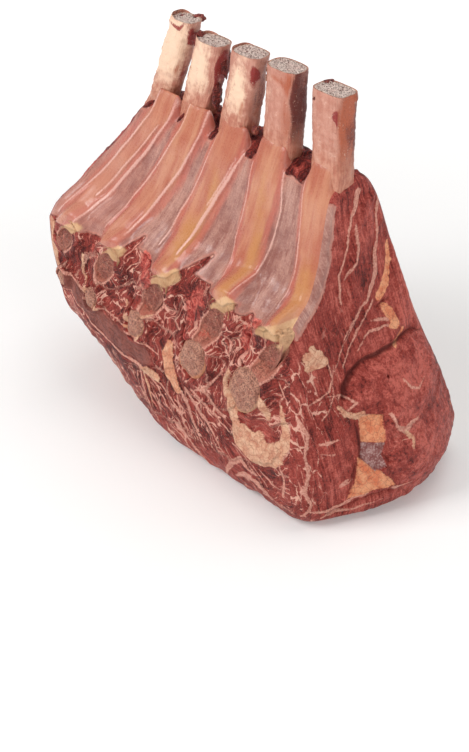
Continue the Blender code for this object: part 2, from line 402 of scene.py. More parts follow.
# Marks on the near cut in mm: strokes are chains of (y, z, half width), outlines go round by (y, z),
# lobes are (lift, reach, outline) and soft spots are (y, z, reach y, reach z, amount)
nearMarks = {
    "pleura": ((-62, 146, 1.0), (-59, 153, 4.0), (-51, 163, 6.0), (-43, 174, 6.5), (-37, 188, 5.5),
               (-33, 206, 4.5), (-29, 226, 3.0)),
    "seams": (
        ((-7, 230, 2.6), (-9, 221, 1.9), (-13, 214, 0.9), (-15, 199, 1.0), (-19, 187, 0.9), (-24, 177, 1.0),
         (-25, 164, 0.9), (-24, 157, 0.6)),
        ((-9, 208, 0.6), (-8, 193, 1.3), (-11, 181, 0.9), (-20, 173, 0.7)),
        ((13, 226, 1.8), (12, 218, 1.4), (10, 208, 1.0), (11, 191, 1.0), (9, 180, 1.6), (7, 168, 2.3),
         (2, 157, 1.6), (-1, 152, 0.9), (-10, 148, 0.7), (-12, 145, 1.0), (-19, 141, 0.8), (-27, 134, 0.5)),
        ((3, 150, 0.8), (-9, 140, 0.6), (-15, 136, 0.8), (-24, 127, 0.5), (-32, 116, 0.4)),
        ((-4, 152, 0.3), (-14, 143, 0.4), (-20, 138, 0.5), (-28, 131, 0.4), (-38, 116, 0.4)),
        ((18, 127, 1.0), (9, 131, 0.7), (2, 131, 1.0), (-5, 132, 0.8), (-11, 129, 0.6), (-18, 123, 0.4)),
        ((12, 134, 1.3), (4, 137, 0.9), (-2, 138, 0.4)),
        ((-42, 124, 0.5), (-40, 112, 0.7), (-44, 104, 0.6), (-52, 101, 0.8), (-60, 98, 0.5)),
        ((-46, 101, 0.4), (-36, 99, 0.7), (-28, 92, 0.9), (-34, 88, 0.7), (-40, 88, 0.4)),
        ((-38, 120, 0.3), (-42, 100, 0.4), (-47, 91, 0.5), (-52, 86, 0.4)),
        ((-67, 90, 0.9), (-63, 78, 1.2), (-66, 62, 0.9), (-64, 48, 1.1), (-67, 34, 1.4), (-62, 22, 1.0),
         (-66, 12, 0.8)),
        ((-56, 70, 0.8), (-50, 70, 1.1), (-45, 71, 0.6)),
        ((-56, 63, 0.3), (-48, 61, 0.6)),
        ((-40, 38, 1.0), (-44, 35, 1.3), (-36, 36, 0.5)),
        ((-26, 23, 0.6), (-35, 22, 1.3), (-42, 18, 1.4), (-50, 14, 1.5), (-56, 14, 0.8), (-64, 17, 0.5)),
        ((-54, 8, 1.0), (-46, 11, 1.3), (-38, 11, 0.9), (-27, 13, 0.7), (-14, 14, 0.3)),
        ((-9, 23, 1.2), (-1, 21, 0.8), (8, 21, 0.3)),
        ((10, 95, 0.6), (14, 88, 1.0), (22, 84, 0.6), (30, 88, 0.3)),
        ((-6, 78, 1.0), (-3, 68, 1.2), (3, 63, 2.2), (9, 66, 1.8), (16, 67, 0.8)),
    ),
    "cream": (
        ((-57, 132, 3.5), (-50, 128, 6.5), (-45, 125, 4.0), (-56, 124, 3.0)),
        ((-52, 136, 2.5), (-50, 128, 4.0)),
        ((-40, 92, 1.2), (-36, 86, 2.0), (-30, 83, 2.3), (-24, 84, 1.6)),
        ((3, 62, 1.5), (8, 56, 1.8), (6, 50, 0.8)),
    ),
    "orange": (
        ((21, 186, 0.6), (21, 172, 2.6), (16, 158, 3.6), (9, 150, 2.8)),
        ((12, 142, 3.0), (16, 136, 4.2), (19, 128, 3.4), (13, 129, 1.6)),
        ((24, 123, 1.6), (19, 120, 1.8), (14, 115, 1.0)),
        ((62, 50, 2.2), (64, 46, 1.8)),
    ),
    "square": ((-28, 84), (-11, 79), (-13, 60), (-29, 64)),
    "window": ((-29, 64), (-13, 60), (-17, 52), (-14, 42), (-22, 40), (-31, 52)),
    "wedge": ((-33, 54), (-20, 42), (-6, 24), (-24, 24), (-40, 22), (-35, 34)),
    "crease": (
        ((46, 112, 0.3), (36, 118, 0.9), (27, 119, 1.2), (12, 117, 1.6), (0, 116, 2.0), (-15, 116, 1.4),
         (-26, 111, 2.0), (-32, 104, 2.4), (-35, 96, 1.2)),
        ((19, 146, 0.3), (13, 146, 0.8), (6, 144, 0.3)),
        ((-31, 82, 0.4), (-30, 66, 1.6), (-31, 52, 1.0)),
        ((-16, 52, 0.5), (-12, 46, 0.9)),
        ((-34, 50, 0.4), (-36, 40, 1.0), (-38, 28, 0.5)),
        ((-10, 20, 0.4), (-24, 19, 0.9), (-38, 15, 0.6), (-50, 10, 0.4)),
    ),
    "lobes": (
        (3.2, 13.0, ((46, 113), (27, 118), (0, 115), (-15, 115), (-27, 110), (-34, 102), (-37, 90), (-32, 84),
                     (-11, 79), (-11, 67), (14, 65), (44, 68), (58, 80), (56, 100))),
        (3.6, 20.0, ((-11, 62), (6, 63), (44, 66), (66, 58), (72, 30), (56, 6), (10, 8), (-6, 22),
                     (-14, 44))),
        (2.2, 14.0, ((-36, 88), (-30, 80), (-30, 62), (-34, 50), (-41, 22), (-62, 22), (-68, 44), (-62, 72))),
        (1.8, 6.0, ((23, 188), (28, 200), (46, 140), (44, 120), (24, 124), (20, 146))),
        (2.0, 5.0, ((10, 228), (9, 196), (6, 170), (-2, 156), (-16, 142), (-22, 160), (-12, 200), (-4, 226))),
    ),
    "tone": ((22, 95, 34, 26, 0.20), (34, 42, 34, 26, 0.12), (-24, 112, 9, 15, -0.16),
             (-4, 190, 12, 34, 0.02), (-46, 45, 16, 24, 0.06), (30, 150, 10, 34, 0.14),
             (6, 122, 12, 8, 0.16), (4, 128, 20, 6, 0.10),
             (-38, 150, 8, 22, -0.06), (4, 60, 18, 10, 0.20), (-4, 14, 40, 6, 0.18)),
    "marble": ((-50, 100, 14, 20, 0.55), (-46, 80, 12, 12, 0.35), (2, 58, 14, 10, 0.35),
               (-20, 160, 12, 26, 0.22), (-36, 135, 8, 18, 0.30)),
}


# Marks on the inner side in mm, of the same kinds, with x in place of y
innerMarks = {
    "ribs": (
        ((97, 146, 8), (94, 178, 10.5), (91, 204, 11.5), (88, 240, 13)),
        ((45, 150, 8), (40, 183, 11), (42, 212, 12), (42, 240, 13)),
        ((-17, 150, 8), (-13, 174, 11), (-3, 205, 11.5), (7, 240, 12)),
        ((-74, 146, 7), (-63, 170, 9), (-44, 201, 10.5), (-27, 240, 11)),
        ((-126, 138, 6), (-109, 166, 8), (-85, 201, 9), (-56, 240, 9)),
    ),
    # where the pleura ends above the raw meat, with tongues of meat that reach up into it
    "border": ((-150, 138), (-118, 141), (-99, 141), (-86, 143), (-66, 143), (-50, 150), (-38, 149),
               (-24, 142), (-10, 145), (0, 154), (12, 153), (30, 152), (44, 149), (56, 148), (66, 143),
               (84, 150), (108, 148)),
    "fingers": (
        ((36, 128, 5), (46, 140, 5), (53, 150, 3), (56, 154, 1)),
        ((52, 128, 6), (60, 140, 4), (66, 148, 1.5)),
        ((-8, 138, 5), (2, 150, 4), (10, 160, 2.5), (14, 165, 1)),
        ((-60, 138, 4), (-52, 150, 3), (-46, 157, 1)),
        ((108, 128, 4), (110, 142, 3), (109, 152, 1)),
    ),
    "warm": ((93, 170, 8, 24, 0.85), (47, 172, 7, 26, 1.0), (42, 215, 7, 20, 0.55), (-10, 166, 13, 16, 0.95),
             (0, 205, 8, 22, 0.65), (-68, 160, 10, 8, 0.35), (-38, 215, 8, 18, 0.35),
             (-70, 215, 8, 20, 0.25)),
    "folds": (
        ((20, 234, 0.6), (12, 216, 1.0), (3, 197, 1.2), (-5, 177, 1.3), (-11, 158, 0.8)),
        ((15, 228, 0.3), (8, 212, 0.6), (-2, 192, 0.5)),
        ((57, 234, 0.5), (60, 210, 0.7), (57, 184, 0.7), (52, 160, 0.4)),
        ((76, 234, 0.5), (80, 206, 0.6), (83, 180, 0.6), (82, 154, 0.3)),
        ((100, 228, 1.6), (102, 214, 2.4), (102, 204, 1.0), (104, 180, 0.8), (107, 150, 0.6)),
        ((30, 232, 0.4), (30, 205, 0.6), (27, 180, 0.5), (32, 158, 0.4)),
        ((-6, 234, 0.4), (-14, 208, 0.7), (-26, 180, 0.8), (-31, 158, 0.5)),
        ((-18, 238, 0.5), (-32, 206, 0.9), (-50, 176, 0.9), (-60, 156, 0.5)),
        ((-36, 236, 0.4), (-52, 206, 0.8), (-72, 174, 0.8), (-82, 152, 0.5)),
        ((-48, 238, 0.5), (-70, 204, 1.0), (-94, 170, 1.0), (-108, 148, 0.6)),
        ((-66, 236, 0.5), (-92, 200, 0.9), (-116, 168, 0.9), (-134, 144, 0.6)),
        ((-60, 226, 0.4), (-80, 198, 0.6), (-104, 164, 0.6)),
    ),
    "caps": (
        ((78, 144, 3.0), (92, 149, 5.5), (104, 153, 7.0), (106, 146, 3.0)),
        ((35, 142, 2.5), (44, 147, 5.0), (52, 153, 5.0)),
        ((-23, 136, 3.0), (-14, 141, 5.5), (-6, 147, 5.0)),
        ((-76, 135, 2.5), (-67, 139, 5.0), (-59, 145, 4.0)),
        ((-121, 137, 2.5), (-113, 141, 4.0), (-106, 145, 3.5)),
    ),
    "slits": (
        ((66, 116, 0.5), (72, 111, 1.5), (78, 106, 1.6), (84, 99, 0.6)),
        ((3, 112, 0.4), (9, 105, 1.6), (15, 98, 2.0), (21, 91, 0.6)),
        ((-51, 112, 0.4), (-46, 104, 1.3), (-39, 99, 0.9)),
        ((-91, 104, 0.8), (-87, 98, 1.4)),
        ((-136, 136, 0.5), (-132, 127, 1.4), (-127, 117, 0.8)),
        ((66, 132, 1.3), (68, 129, 1.0)),
        ((-84, 132, 0.9), (-82, 130, 0.6)),
    ),
    "blood": ((64, 130, 6, 9, 1.0), (72, 146, 7, 5, 0.7), (11, 128, 7, 11, 1.0), (20, 142, 9, 6, 0.8),
              (-36, 144, 6, 11, 1.0), (-30, 132, 6, 8, 0.6), (-94, 132, 5, 6, 0.4), (9, 108, 6, 5, 0.6)),
    "cream": (
        ((57, 86, 3.0), (59, 76, 5.0), (62, 66, 5.0), (66, 58, 3.5)),
        ((80, 104, 1.8), (88, 92, 3.0), (90, 82, 2.2)),
        ((56, 104, 1.6), (52, 94, 2.0), (53, 84, 2.4)),
        ((100, 96, 1.0), (104, 84, 3.0), (108, 74, 3.5), (103, 64, 4.0)),
        ((-44, 90, 3.2), (-50, 96, 2.2), (-55, 106, 1.4)),
        ((-40, 84, 1.4), (-34, 92, 1.6)),
        ((-97, 100, 2.4), (-90, 90, 3.2), (-84, 88, 1.6)),
        ((-104, 122, 1.6), (-103, 108, 1.6), (-97, 98, 1.6)),
        ((-138, 128, 3.4), (-140, 114, 3.4), (-138, 98, 2.4)),
        ((-142, 140, 3.0), (-138, 128, 3.0)),
        ((28, 122, 1.4), (22, 112, 1.6), (20, 104, 1.2)),
        ((-26, 110, 1.6), (-34, 104, 1.6), (-38, 98, 1.4)),
        ((-20, 60, 3.2), (-30, 62, 3.0), (-38, 60, 1.6)),
        ((-34, 58, 1.2), (-28, 46, 1.6), (-26, 32, 1.0)),
    ),
    "orange": (
        ((-8, 94, 3.0), (-10, 82, 6.0), (-6, 71, 6.5), (2, 62, 4.0)),
        ((-52, 90, 1.0), (-46, 88, 1.4)),
    ),
    "fatMass": ((57, 57), (59, 65), (70, 67), (80, 66), (84, 70), (91, 63), (98, 67), (104, 78), (111, 70),
                (106, 54), (97, 46), (86, 42), (72, 42), (61, 48)),
    "redPatch": ((84, 80), (92, 86), (97, 79), (92, 69), (86, 71)),
    "seams": (
        ((-128, 104, 0.9), (-114, 98, 1.0), (-100, 91, 1.0), (-72, 88, 0.8), (-46, 84, 0.9), (-20, 79, 0.8)),
        ((-130, 88, 0.8), (-107, 77, 0.9), (-79, 66, 1.0), (-57, 61, 1.2), (-32, 62, 1.4)),
        ((-138, 92, 0.6), (-134, 100, 1.0), (-126, 106, 0.9)),
        ((-30, 60, 1.2), (-19, 53, 1.0), (-9, 41, 0.8), (4, 33, 0.5)),
        ((-24, 60, 0.9), (-10, 54, 0.9), (2, 46, 0.8), (10, 38, 0.5)),
        ((-38, 58, 1.0), (-36, 44, 1.0), (-30, 28, 0.8), (-22, 20, 0.5)),
        ((-43, 54, 0.7), (-42, 42, 0.7), (-36, 30, 0.4)),
        ((-32, 52, 0.6), (-24, 42, 0.7), (-18, 34, 0.4)),
        ((6, 62, 1.3), (14, 52, 1.5), (20, 40, 1.2), (28, 24, 0.6)),
        ((10, 66, 1.4), (24, 56, 1.8), (36, 47, 1.2), (46, 34, 0.5)),
        ((16, 68, 1.2), (32, 62, 1.0), (44, 58, 0.8), (56, 52, 0.5)),
        ((2, 56, 0.8), (6, 42, 0.9), (12, 26, 0.5)),
        ((-2, 32, 1.2), (8, 26, 1.8), (18, 18, 1.4), (28, 8, 0.8)),
        ((-8, 26, 0.6), (4, 20, 0.9), (14, 10, 0.5)),
        ((50, 62, 0.9), (40, 66, 1.2), (30, 72, 1.0), (22, 74, 0.8)),
        ((44, 96, 0.9), (36, 84, 0.9), (28, 74, 1.1), (20, 70, 0.9)),
        ((48, 11, 1.2), (52, 20, 1.8), (58, 29, 2.1), (66, 36, 2.4)),
        ((66, 36, 2.0), (72, 31, 1.4), (80, 30, 1.0)),
        ((60, 18, 1.0), (70, 24, 2.6), (82, 22, 2.6), (94, 17, 2.0)),
        ((84, 38, 0.5), (96, 32, 1.2), (104, 31, 0.6)),
        ((58, 46, 0.6), (66, 42, 0.8), (80, 36, 0.5), (92, 26, 0.5)),
        ((110, 92, 0.8), (108, 80, 1.0), (110, 66, 0.9), (104, 52, 0.9), (108, 40, 1.1), (106, 26, 1.2)),
        ((96, 112, 0.6), (102, 104, 0.8), (98, 98, 0.6)),
    ),
    "band": ((-126, 96, 6), (-108, 86, 7.5), (-82, 78, 8), (-56, 72, 8.5), (-34, 71, 7)),
    "tone": ((-60, 50, 40, 18, -0.16), (20, 46, 34, 22, -0.10), (52, 122, 14, 16, -0.16),
             (2, 122, 14, 16, -0.18), (-52, 124, 12, 14, -0.18), (-104, 118, 10, 10, -0.14),
             (0, 14, 60, 10, 0.16), (92, 24, 20, 14, 0.10), (110, 118, 10, 20, -0.14)),
}

# Muscle bundles of the inner side: middle x and z in mm, grain direction in degrees, marbling from 0 to 1
bundles = (
    (-136, 112, 80, 0.45), (-112, 118, 66, 0.55), (-104, 104, 84, 0.60), (-60, 128, 62, 0.85),
    (-62, 104, 58, 0.85), (-14, 112, 70, 0.95), (-4, 134, 60, 1.00), (4, 120, 78, 0.95), (-18, 94, 80, 0.80),
    (44, 112, 66, 0.90), (54, 134, 58, 0.90), (60, 122, 76, 0.85), (38, 92, 72, 0.80), (108, 126, 60, 0.45),
    (100, 104, 36, 0.75), (-118, 92, -28, 0.16), (-84, 78, -24, 0.14), (-48, 72, -14, 0.16),
    (-134, 80, -36, 0.85), (-112, 62, -33, 0.85), (-84, 50, -30, 0.85), (-60, 40, -30, 0.80),
    (-34, 46, -66, 0.75), (-14, 46, -44, 0.75), (8, 46, -56, 0.75), (24, 44, -48, 0.75), (44, 48, -36, 0.70),
    (-30, 18, -26, 0.50), (8, 16, -32, 0.55), (40, 14, -24, 0.30), (70, 20, -18, 0.40), (98, 36, 20, 0.60),
    (112, 60, 80, 0.60), (84, 56, 10, 0.30), (26, 84, 66, 0.70),
)

# The bare oval of each sawn head: middle x and z and half sizes in mm, slant in degrees
bareHeads = ((89, 126, 21, 7.6, 58), (34, 127, 20, 7.8, 58), (-25, 122, 18, 8.2, 56), (-77, 124, 16, 8, 56),
             (-121, 129, 12, 7, 56))

# The section's length in mm where the pleura starts and ends, at the shoulder and at the ledge
shoulderLength = 1000 * lengthAt(7.0)
ledgeLength = 1000 * lengthAt(12.15)
fanMiddle = 1000 * (body["fanX"] + body["place"][0])  # X in mm of the line that the ribs fan out from
farOutside = -20.0  # the reach in mm of a mark that is nowhere near


# Every field that the flesh material reads. A mark that a side lacks is far outside everywhere
def fleshFields(like, **found):
    reaches = ("crease", "window", "pleura", "bareBone", "aslant", "rib", "cap", "fold")
    absent = dict.fromkeys(reaches, farOutside) | {"blood": 0.0, "brown": 0.0}
    return {key: np.full(like.shape, value) for key, value in absent.items()} | found


# Looks of a cut end at its points (y, z): heights in mm to push the surface out by, and the fields,
# which are the reach into each drawn mark in mm and how red, marbled or warm the flesh is
def nearLooks(at, spot):
    seam = strokes(at, nearMarks["seams"])
    cream = strokes(at, nearMarks["cream"])
    orange = strokes(at, nearMarks["orange"])
    square = outline(at, nearMarks["square"])
    window = outline(at, nearMarks["window"])
    wedge = outline(at, nearMarks["wedge"])
    crease = strokes(at, nearMarks["crease"]) - 0.7
    fat = np.maximum.reduce((cream, orange, square, wedge))
    warm = smooth((np.maximum(np.maximum(orange, wedge), square - 4) - cream + 2) / 3) * 0.9
    height = -2.6 * np.exp(-(np.minimum(crease - 0.8, 0) / 2.2) ** 2)
    for lift, reach, corners in nearMarks["lobes"]:
        height += lift * smooth(outline(at, corners) / reach)
    height += 0.5 * smooth((seam + 0.8) / 1.2) + 0.9 * smooth((cream + 1.0) / 3.0)
    height += 0.8 * smooth((wedge + 1.0) / 4.0) * lumps(spot, 7, 5)
    height -= 1.6 * smooth((np.maximum(square, window) + 0.8) / 1.6)
    height += 0.8 * smooth((window + 0.5) / 2.0) * lumps(spot, 9, 6)
    height += 0.8 * lumps(spot, 30, 11) + 0.45 * lumps(spot, 10, 12) + 0.22 * lumps(spot, 4.5, 13)
    # The cut end sags in soft folds low down on its right
    height += 1.1 * np.exp(-((at[..., 1] - 34 + 0.1 * at[..., 0]) / 8) ** 2) * smooth((at[..., 0] - 5) / 25)
    tone = 0.52 + spots(at, nearMarks["tone"]) + 0.07 * lumps(spot, 40, 21)
    rimwards = smooth((-46 - at[..., 0]) / 22) * smooth((140 - at[..., 1]) / 20)
    marble = 0.10 + 0.75 * rimwards + spots(at, nearMarks["marble"]) + 0.05 * lumps(spot, 25, 22)
    grain = np.stack((at[..., 1] * 0.8, at[..., 0] + 0.15 * at[..., 1], 0 * tone + 3), axis=-1)
    # The round eye muscles are cut across their grain, so it runs neither way there
    eye = np.maximum(*(outline(at, nearMarks["lobes"][number][2]) for number in (0, 1))) > 0
    grain[eye] *= (4.5, 0.45, 1.0)
    fields = fleshFields(tone, seam=seam, fat=fat, warm=warm, crease=crease, tone=tone, marble=marble,
                         window=window, grain=grain)
    if spot[0, 0, 0] > 0:  # the pleura's edge shows on the near cut only
        fields["pleura"] = strokes(at, (nearMarks["pleura"],))
    return height, fields


# The collar of flesh round each head and stub: Y in mm of its ring and of the bone's face inside it,
# how far the flesh sinks behind a stub, and a stub's half sizes
collar = {"headRing": -71.4, "headFace": -67.0, "stubRing": -75.6, "stubSink": 2.5, "stubHalf": (10.4, 14.7)}


# Flesh swells round each sawn head and stub until it is flush with it, and leaves a slanting oval of
# the head bare. It gives the push in mm, the reach in mm into the nearest bare oval, and how far along
# the oval's length a point is. Near means within about 1.8 radii of a head and 1.6 of a stub
def collars(at, spot):
    push = np.zeros(spot.shape)
    bareBone = np.full(spot.shape[:2], farOutside)
    aslant = np.zeros(spot.shape[:2])
    for number, (x, z, long, short, angle) in enumerate(bareHeads):
        turn = math.radians(angle)
        ahead = (at[..., 0] - x) * math.cos(turn) + (at[..., 1] - z) * math.sin(turn)
        across = (at[..., 1] - z) * math.cos(turn) - (at[..., 0] - x) * math.sin(turn)
        bare = np.hypot(ahead / long, across / short) * (1 + 0.06 * lumps(spot, 18, 45))
        headX = 1000 * (ribs["headX"][number] + body["place"][0])
        headZ = 1000 * (stubs["headZ"] - ribs["drop"][number])
        flare = 1000 * (1 + ribs["flare"]) / 2
        offX, offZ = at[..., 0] - headX, at[..., 1] - headZ
        halfLong, halfShort = flare * ribs["width"][number], 0.81 * flare * ribs["thick"][number]
        disc = np.hypot((offX * math.cos(turn) + offZ * math.sin(turn)) / halfLong,
                        (offZ * math.cos(turn) - offX * math.sin(turn)) / halfShort)
        inside = smooth((1.0 - bare) / 0.22) * smooth((1.02 - disc) / 0.15)
        target = mix(collar["headRing"], collar["headFace"], inside)
        nearby = smooth((1.85 - np.minimum(disc, bare + 0.4)) / 0.55)
        push[..., 1] = np.minimum(push[..., 1], np.minimum(0, target - spot[..., 1]) * nearby)
        aslant = np.where((1.0 - bare) * short > bareBone, ahead, aslant)
        bareBone = np.maximum(bareBone, (1.0 - bare) * short)
    for number, scale in enumerate(stubs["scale"]):
        offX = at[..., 0] - 1000 * (ribs["headX"][number] + stubs["aside"][number] + body["place"][0])
        offZ = at[..., 1] - 1000 * (stubs["headZ"] - stubs["drop"])
        ahead = offZ * math.cos(stubs["lean"]) + offX * math.sin(stubs["lean"])
        across = offX * math.cos(stubs["lean"]) - offZ * math.sin(stubs["lean"])
        disc = np.hypot(across / collar["stubHalf"][0], ahead / collar["stubHalf"][1]) / scale
        target = collar["stubRing"] + collar["stubSink"] * smooth((1.0 - disc) / 0.2)
        nearby = smooth((1.6 - disc) / 0.55)
        push[..., 1] = np.minimum(push[..., 1], np.minimum(0, target - spot[..., 1]) * nearby)
    return push, bareBone, aslant


# Looks of the inner side at its points (x, z) and lengths round the section: pleura with rib bands above,
# marbled meat in muscle bundles below, and the raw ledge at the top
def innerLooks(at, spot, length):
    ribBand = strokes(at, innerMarks["ribs"])
    border = np.array(innerMarks["border"], float)
    over = at[..., 1] - np.interp(at[..., 0], border[:, 0], border[:, 1])
    over = np.where(length > shoulderLength + 6, 20.0, over)
    over = np.minimum(over, -strokes(at, innerMarks["fingers"]))
    gaps = smooth((-ribBand - 0.5) / 3)
    pleura = np.minimum(over, ledgeLength - length + 1.5 * lumps(spot, 16, 31) + mix(5.0, -5.0, gaps))
    onPleura = smooth((pleura + 1.5) / 3)
    seam = strokes(at, innerMarks["seams"])
    cream = strokes(at, innerMarks["cream"])
    orange = strokes(at, innerMarks["orange"])
    mass = np.minimum(outline(at, innerMarks["fatMass"]), -outline(at, innerMarks["redPatch"]))
    mass = mass + 1.2 * lumps(spot, 10, 32)
    fat = np.maximum.reduce((cream, orange, mass))
    slit = strokes(at, innerMarks["slits"])
    cap = strokes(at, innerMarks["caps"])
    fold = strokes(at, innerMarks["folds"])
    band = strokes(at, (innerMarks["band"],))
    blood = spots(at, innerMarks["blood"]) * smooth((6 - pleura) / 6)
    warm = np.where(pleura > 0, spots(at, innerMarks["warm"]), smooth((orange - cream + 3) / 3) * 0.4)
    crease = np.where(pleura > 2, farOutside, slit)
    # Nearest muscle bundle: it sets the grain's direction and how marbled the meat is
    nearest = np.full(at.shape[:-1], 1e9)
    second = np.full(at.shape[:-1], 1e9)
    grain = np.zeros((*at.shape[:-1], 3))
    marble = np.zeros(at.shape[:-1])
    wobbled = at + 2.5 * np.stack((lumps(spot, 14, 33), lumps(spot, 14, 34)), axis=-1)
    for number, (x, z, angle, fatness) in enumerate(bundles):
        turn = math.radians(angle)
        ahead = (wobbled[..., 0] - x) * math.cos(turn) + (wobbled[..., 1] - z) * math.sin(turn)
        across = (wobbled[..., 1] - z) * math.cos(turn) - (wobbled[..., 0] - x) * math.sin(turn)
        gap = np.hypot(ahead * 0.6, across)
        closer = gap < nearest
        second = np.where(closer, nearest, np.minimum(second, gap))
        nearest = np.where(closer, gap, nearest)
        grain[closer] = np.stack((ahead, across, 0 * ahead + 5 * number), axis=-1)[closer]
        marble[closer] = fatness
    edge = 0.6 - 0.5 * (second - nearest)
    seam = np.where(marble > 0.3, np.maximum(seam, edge * 0.8 - 0.2), seam)
    tone = 0.42 + spots(at, innerMarks["tone"]) + 0.08 * lumps(spot, 30, 35)
    # Over the pleura the grain runs along the ribs: how far up, and how far round the ribs' fan
    fanned = at[..., 0] - (fanMiddle - at[..., 0]) * (at[..., 1] - 240) / 430
    pleuraGrain = np.stack((length - shoulderLength, fanned, 0 * tone + 1), axis=-1)
    onBoth = onPleura[..., None] > 0.5
    grain = np.where(onBoth, pleuraGrain, grain)
    ledge = smooth((length - ledgeLength + 7) / 2) * (1 - onPleura)
    tone = mix(tone, 0.18 + 0.1 * lumps(spot, 8, 36), ledge)
    marble = mix(marble, 0.15, ledge)
    seam = mix(seam, -5.0, np.maximum(onPleura, ledge))
    fat = mix(fat, -9.0, np.maximum(onPleura, ledge))
    height = -3.6 * np.exp(-(np.minimum(crease - 0.8, 0) / 1.3) ** 2)
    height += onPleura * (2.4 * smooth((ribBand + 5) / 10) - 1.4 + 1.1 * smooth((fold + 1.6) / 1.8))
    height += (1 - onPleura) * (0.5 * smooth((seam + 0.8) / 1.2) + 1.3 * smooth((fat + 1.5) / 3))
    height += (1 - onPleura) * (0.45 * lumps(spot, 12, 37) + 0.25 * lumps(spot, 5, 38) - 0.8 * smooth(marble))
    height += smooth((fat + 1) / 3) * 0.8 * lumps(spot, 7, 39) + 0.5 * lumps(spot, 34, 40)
    drawnOut = np.stack((grain[..., 0] * 0.25, grain[..., 1], 0 * tone), axis=-1)
    height += onPleura * 0.25 * lumps(drawnOut, 7, 41)
    height += 1.2 * smooth((cap + 2) / 5) + ledge * (1.2 * lumps(spot, 9, 42) + 0.8 * lumps(spot, 5, 43))
    height += 0.8 * smooth((band + 2) / 5)
    push, bareBone, aslant = collars(at, spot)
    rimSkin = 0.8 - np.abs(bareBone + 0.6) - 3 * smooth((aslant - 6) / 6)
    seam = np.where(pleura < 1, np.maximum(seam, rimSkin), seam)
    sleeve = np.exp(-((length - ledgeLength - 1) / 4.5) ** 2) * smooth((ribBand + 1.5) / 4)
    push[..., 2] += 11 * sleeve
    push[..., 1] += 1.5 * sleeve
    brown = smooth((band + 2.5) / 4) * (1 - onPleura)
    return height, fleshFields(tone, push=push, bareBone=bareBone, aslant=aslant, seam=seam, fat=fat,
                               warm=warm, crease=crease, tone=tone, marble=marble, pleura=pleura,
                               rib=ribBand, cap=cap, fold=fold, blood=blood, brown=brown, grain=grain)


# Looks of the outer side and the underside: a trimmed fat cover broken by windows of bare muscle
def outerLooks(at, spot, length):
    cover = 3.5 * lumps(spot, 60, 51) + 2.5 * lumps(spot, 24, 52) + 1.0 * lumps(spot, 9, 53) + 1.5
    tone = 0.44 + 0.12 * lumps(spot, 30, 54)
    grain = np.stack((length, at[..., 0], 0 * tone + 9), axis=-1)
    height = 0.9 * smooth((cover + 1) / 3) + 0.6 * lumps(spot, 26, 55) + 0.25 * lumps(spot, 8, 56)
    return height, fleshFields(tone, seam=-1.5 + 1.6 * lumps(spot, 12, 57), fat=cover,
                               warm=0.25 + 0.2 * lumps(spot, 40, 58), tone=tone, marble=0.35 + 0 * tone,
                               grain=grain)


fleshColours = {
    "darkMeat": (74, 8, 6), "midMeat": (158, 58, 48), "paleMeat": (212, 108, 94),
    "brownDeep": (118, 60, 52), "brownPale": (172, 108, 94), "veinPink": (222, 140, 124),
    "veinPale": (248, 192, 170), "skinPink": (212, 130, 112), "skinPale": (248, 190, 168),
    "creamDeep": (222, 150, 120), "creamPale": (246, 198, 164), "orangeDeep": (236, 128, 86),
    "orangePale": (255, 178, 132), "fatCrack": (168, 84, 66), "windowDeep": (150, 88, 84),
    "windowPale": (206, 164, 158), "pleuraDeep": (146, 92, 82), "pleuraMid": (176, 126, 112),
    "pleuraPale": (197, 149, 134), "bandDeep": (182, 104, 80), "bandPale": (202, 138, 108),
    "bandWarm": (196, 132, 84), "bandFlush": (192, 94, 80), "farFlush": (192, 124, 108),
    "foldHighlight": (228, 178, 164), "hairPale": (230, 186, 172), "hairRed": (168, 92, 82),
    "pleuraRim": (205, 128, 110), "gristleDeep": (206, 154, 112), "gristlePale": (222, 178, 134),
    "marrowDeep": (152, 72, 58), "marrowPale": (214, 138, 114), "marrowPore": (92, 28, 22),
    "marrowBlood": (190, 56, 46), "gristleShade": (136, 92, 62), "headRim": (196, 118, 98),
    "rawDeep": (160, 26, 24), "rawPale": (234, 116, 100), "creaseShade": (72, 14, 12),
}


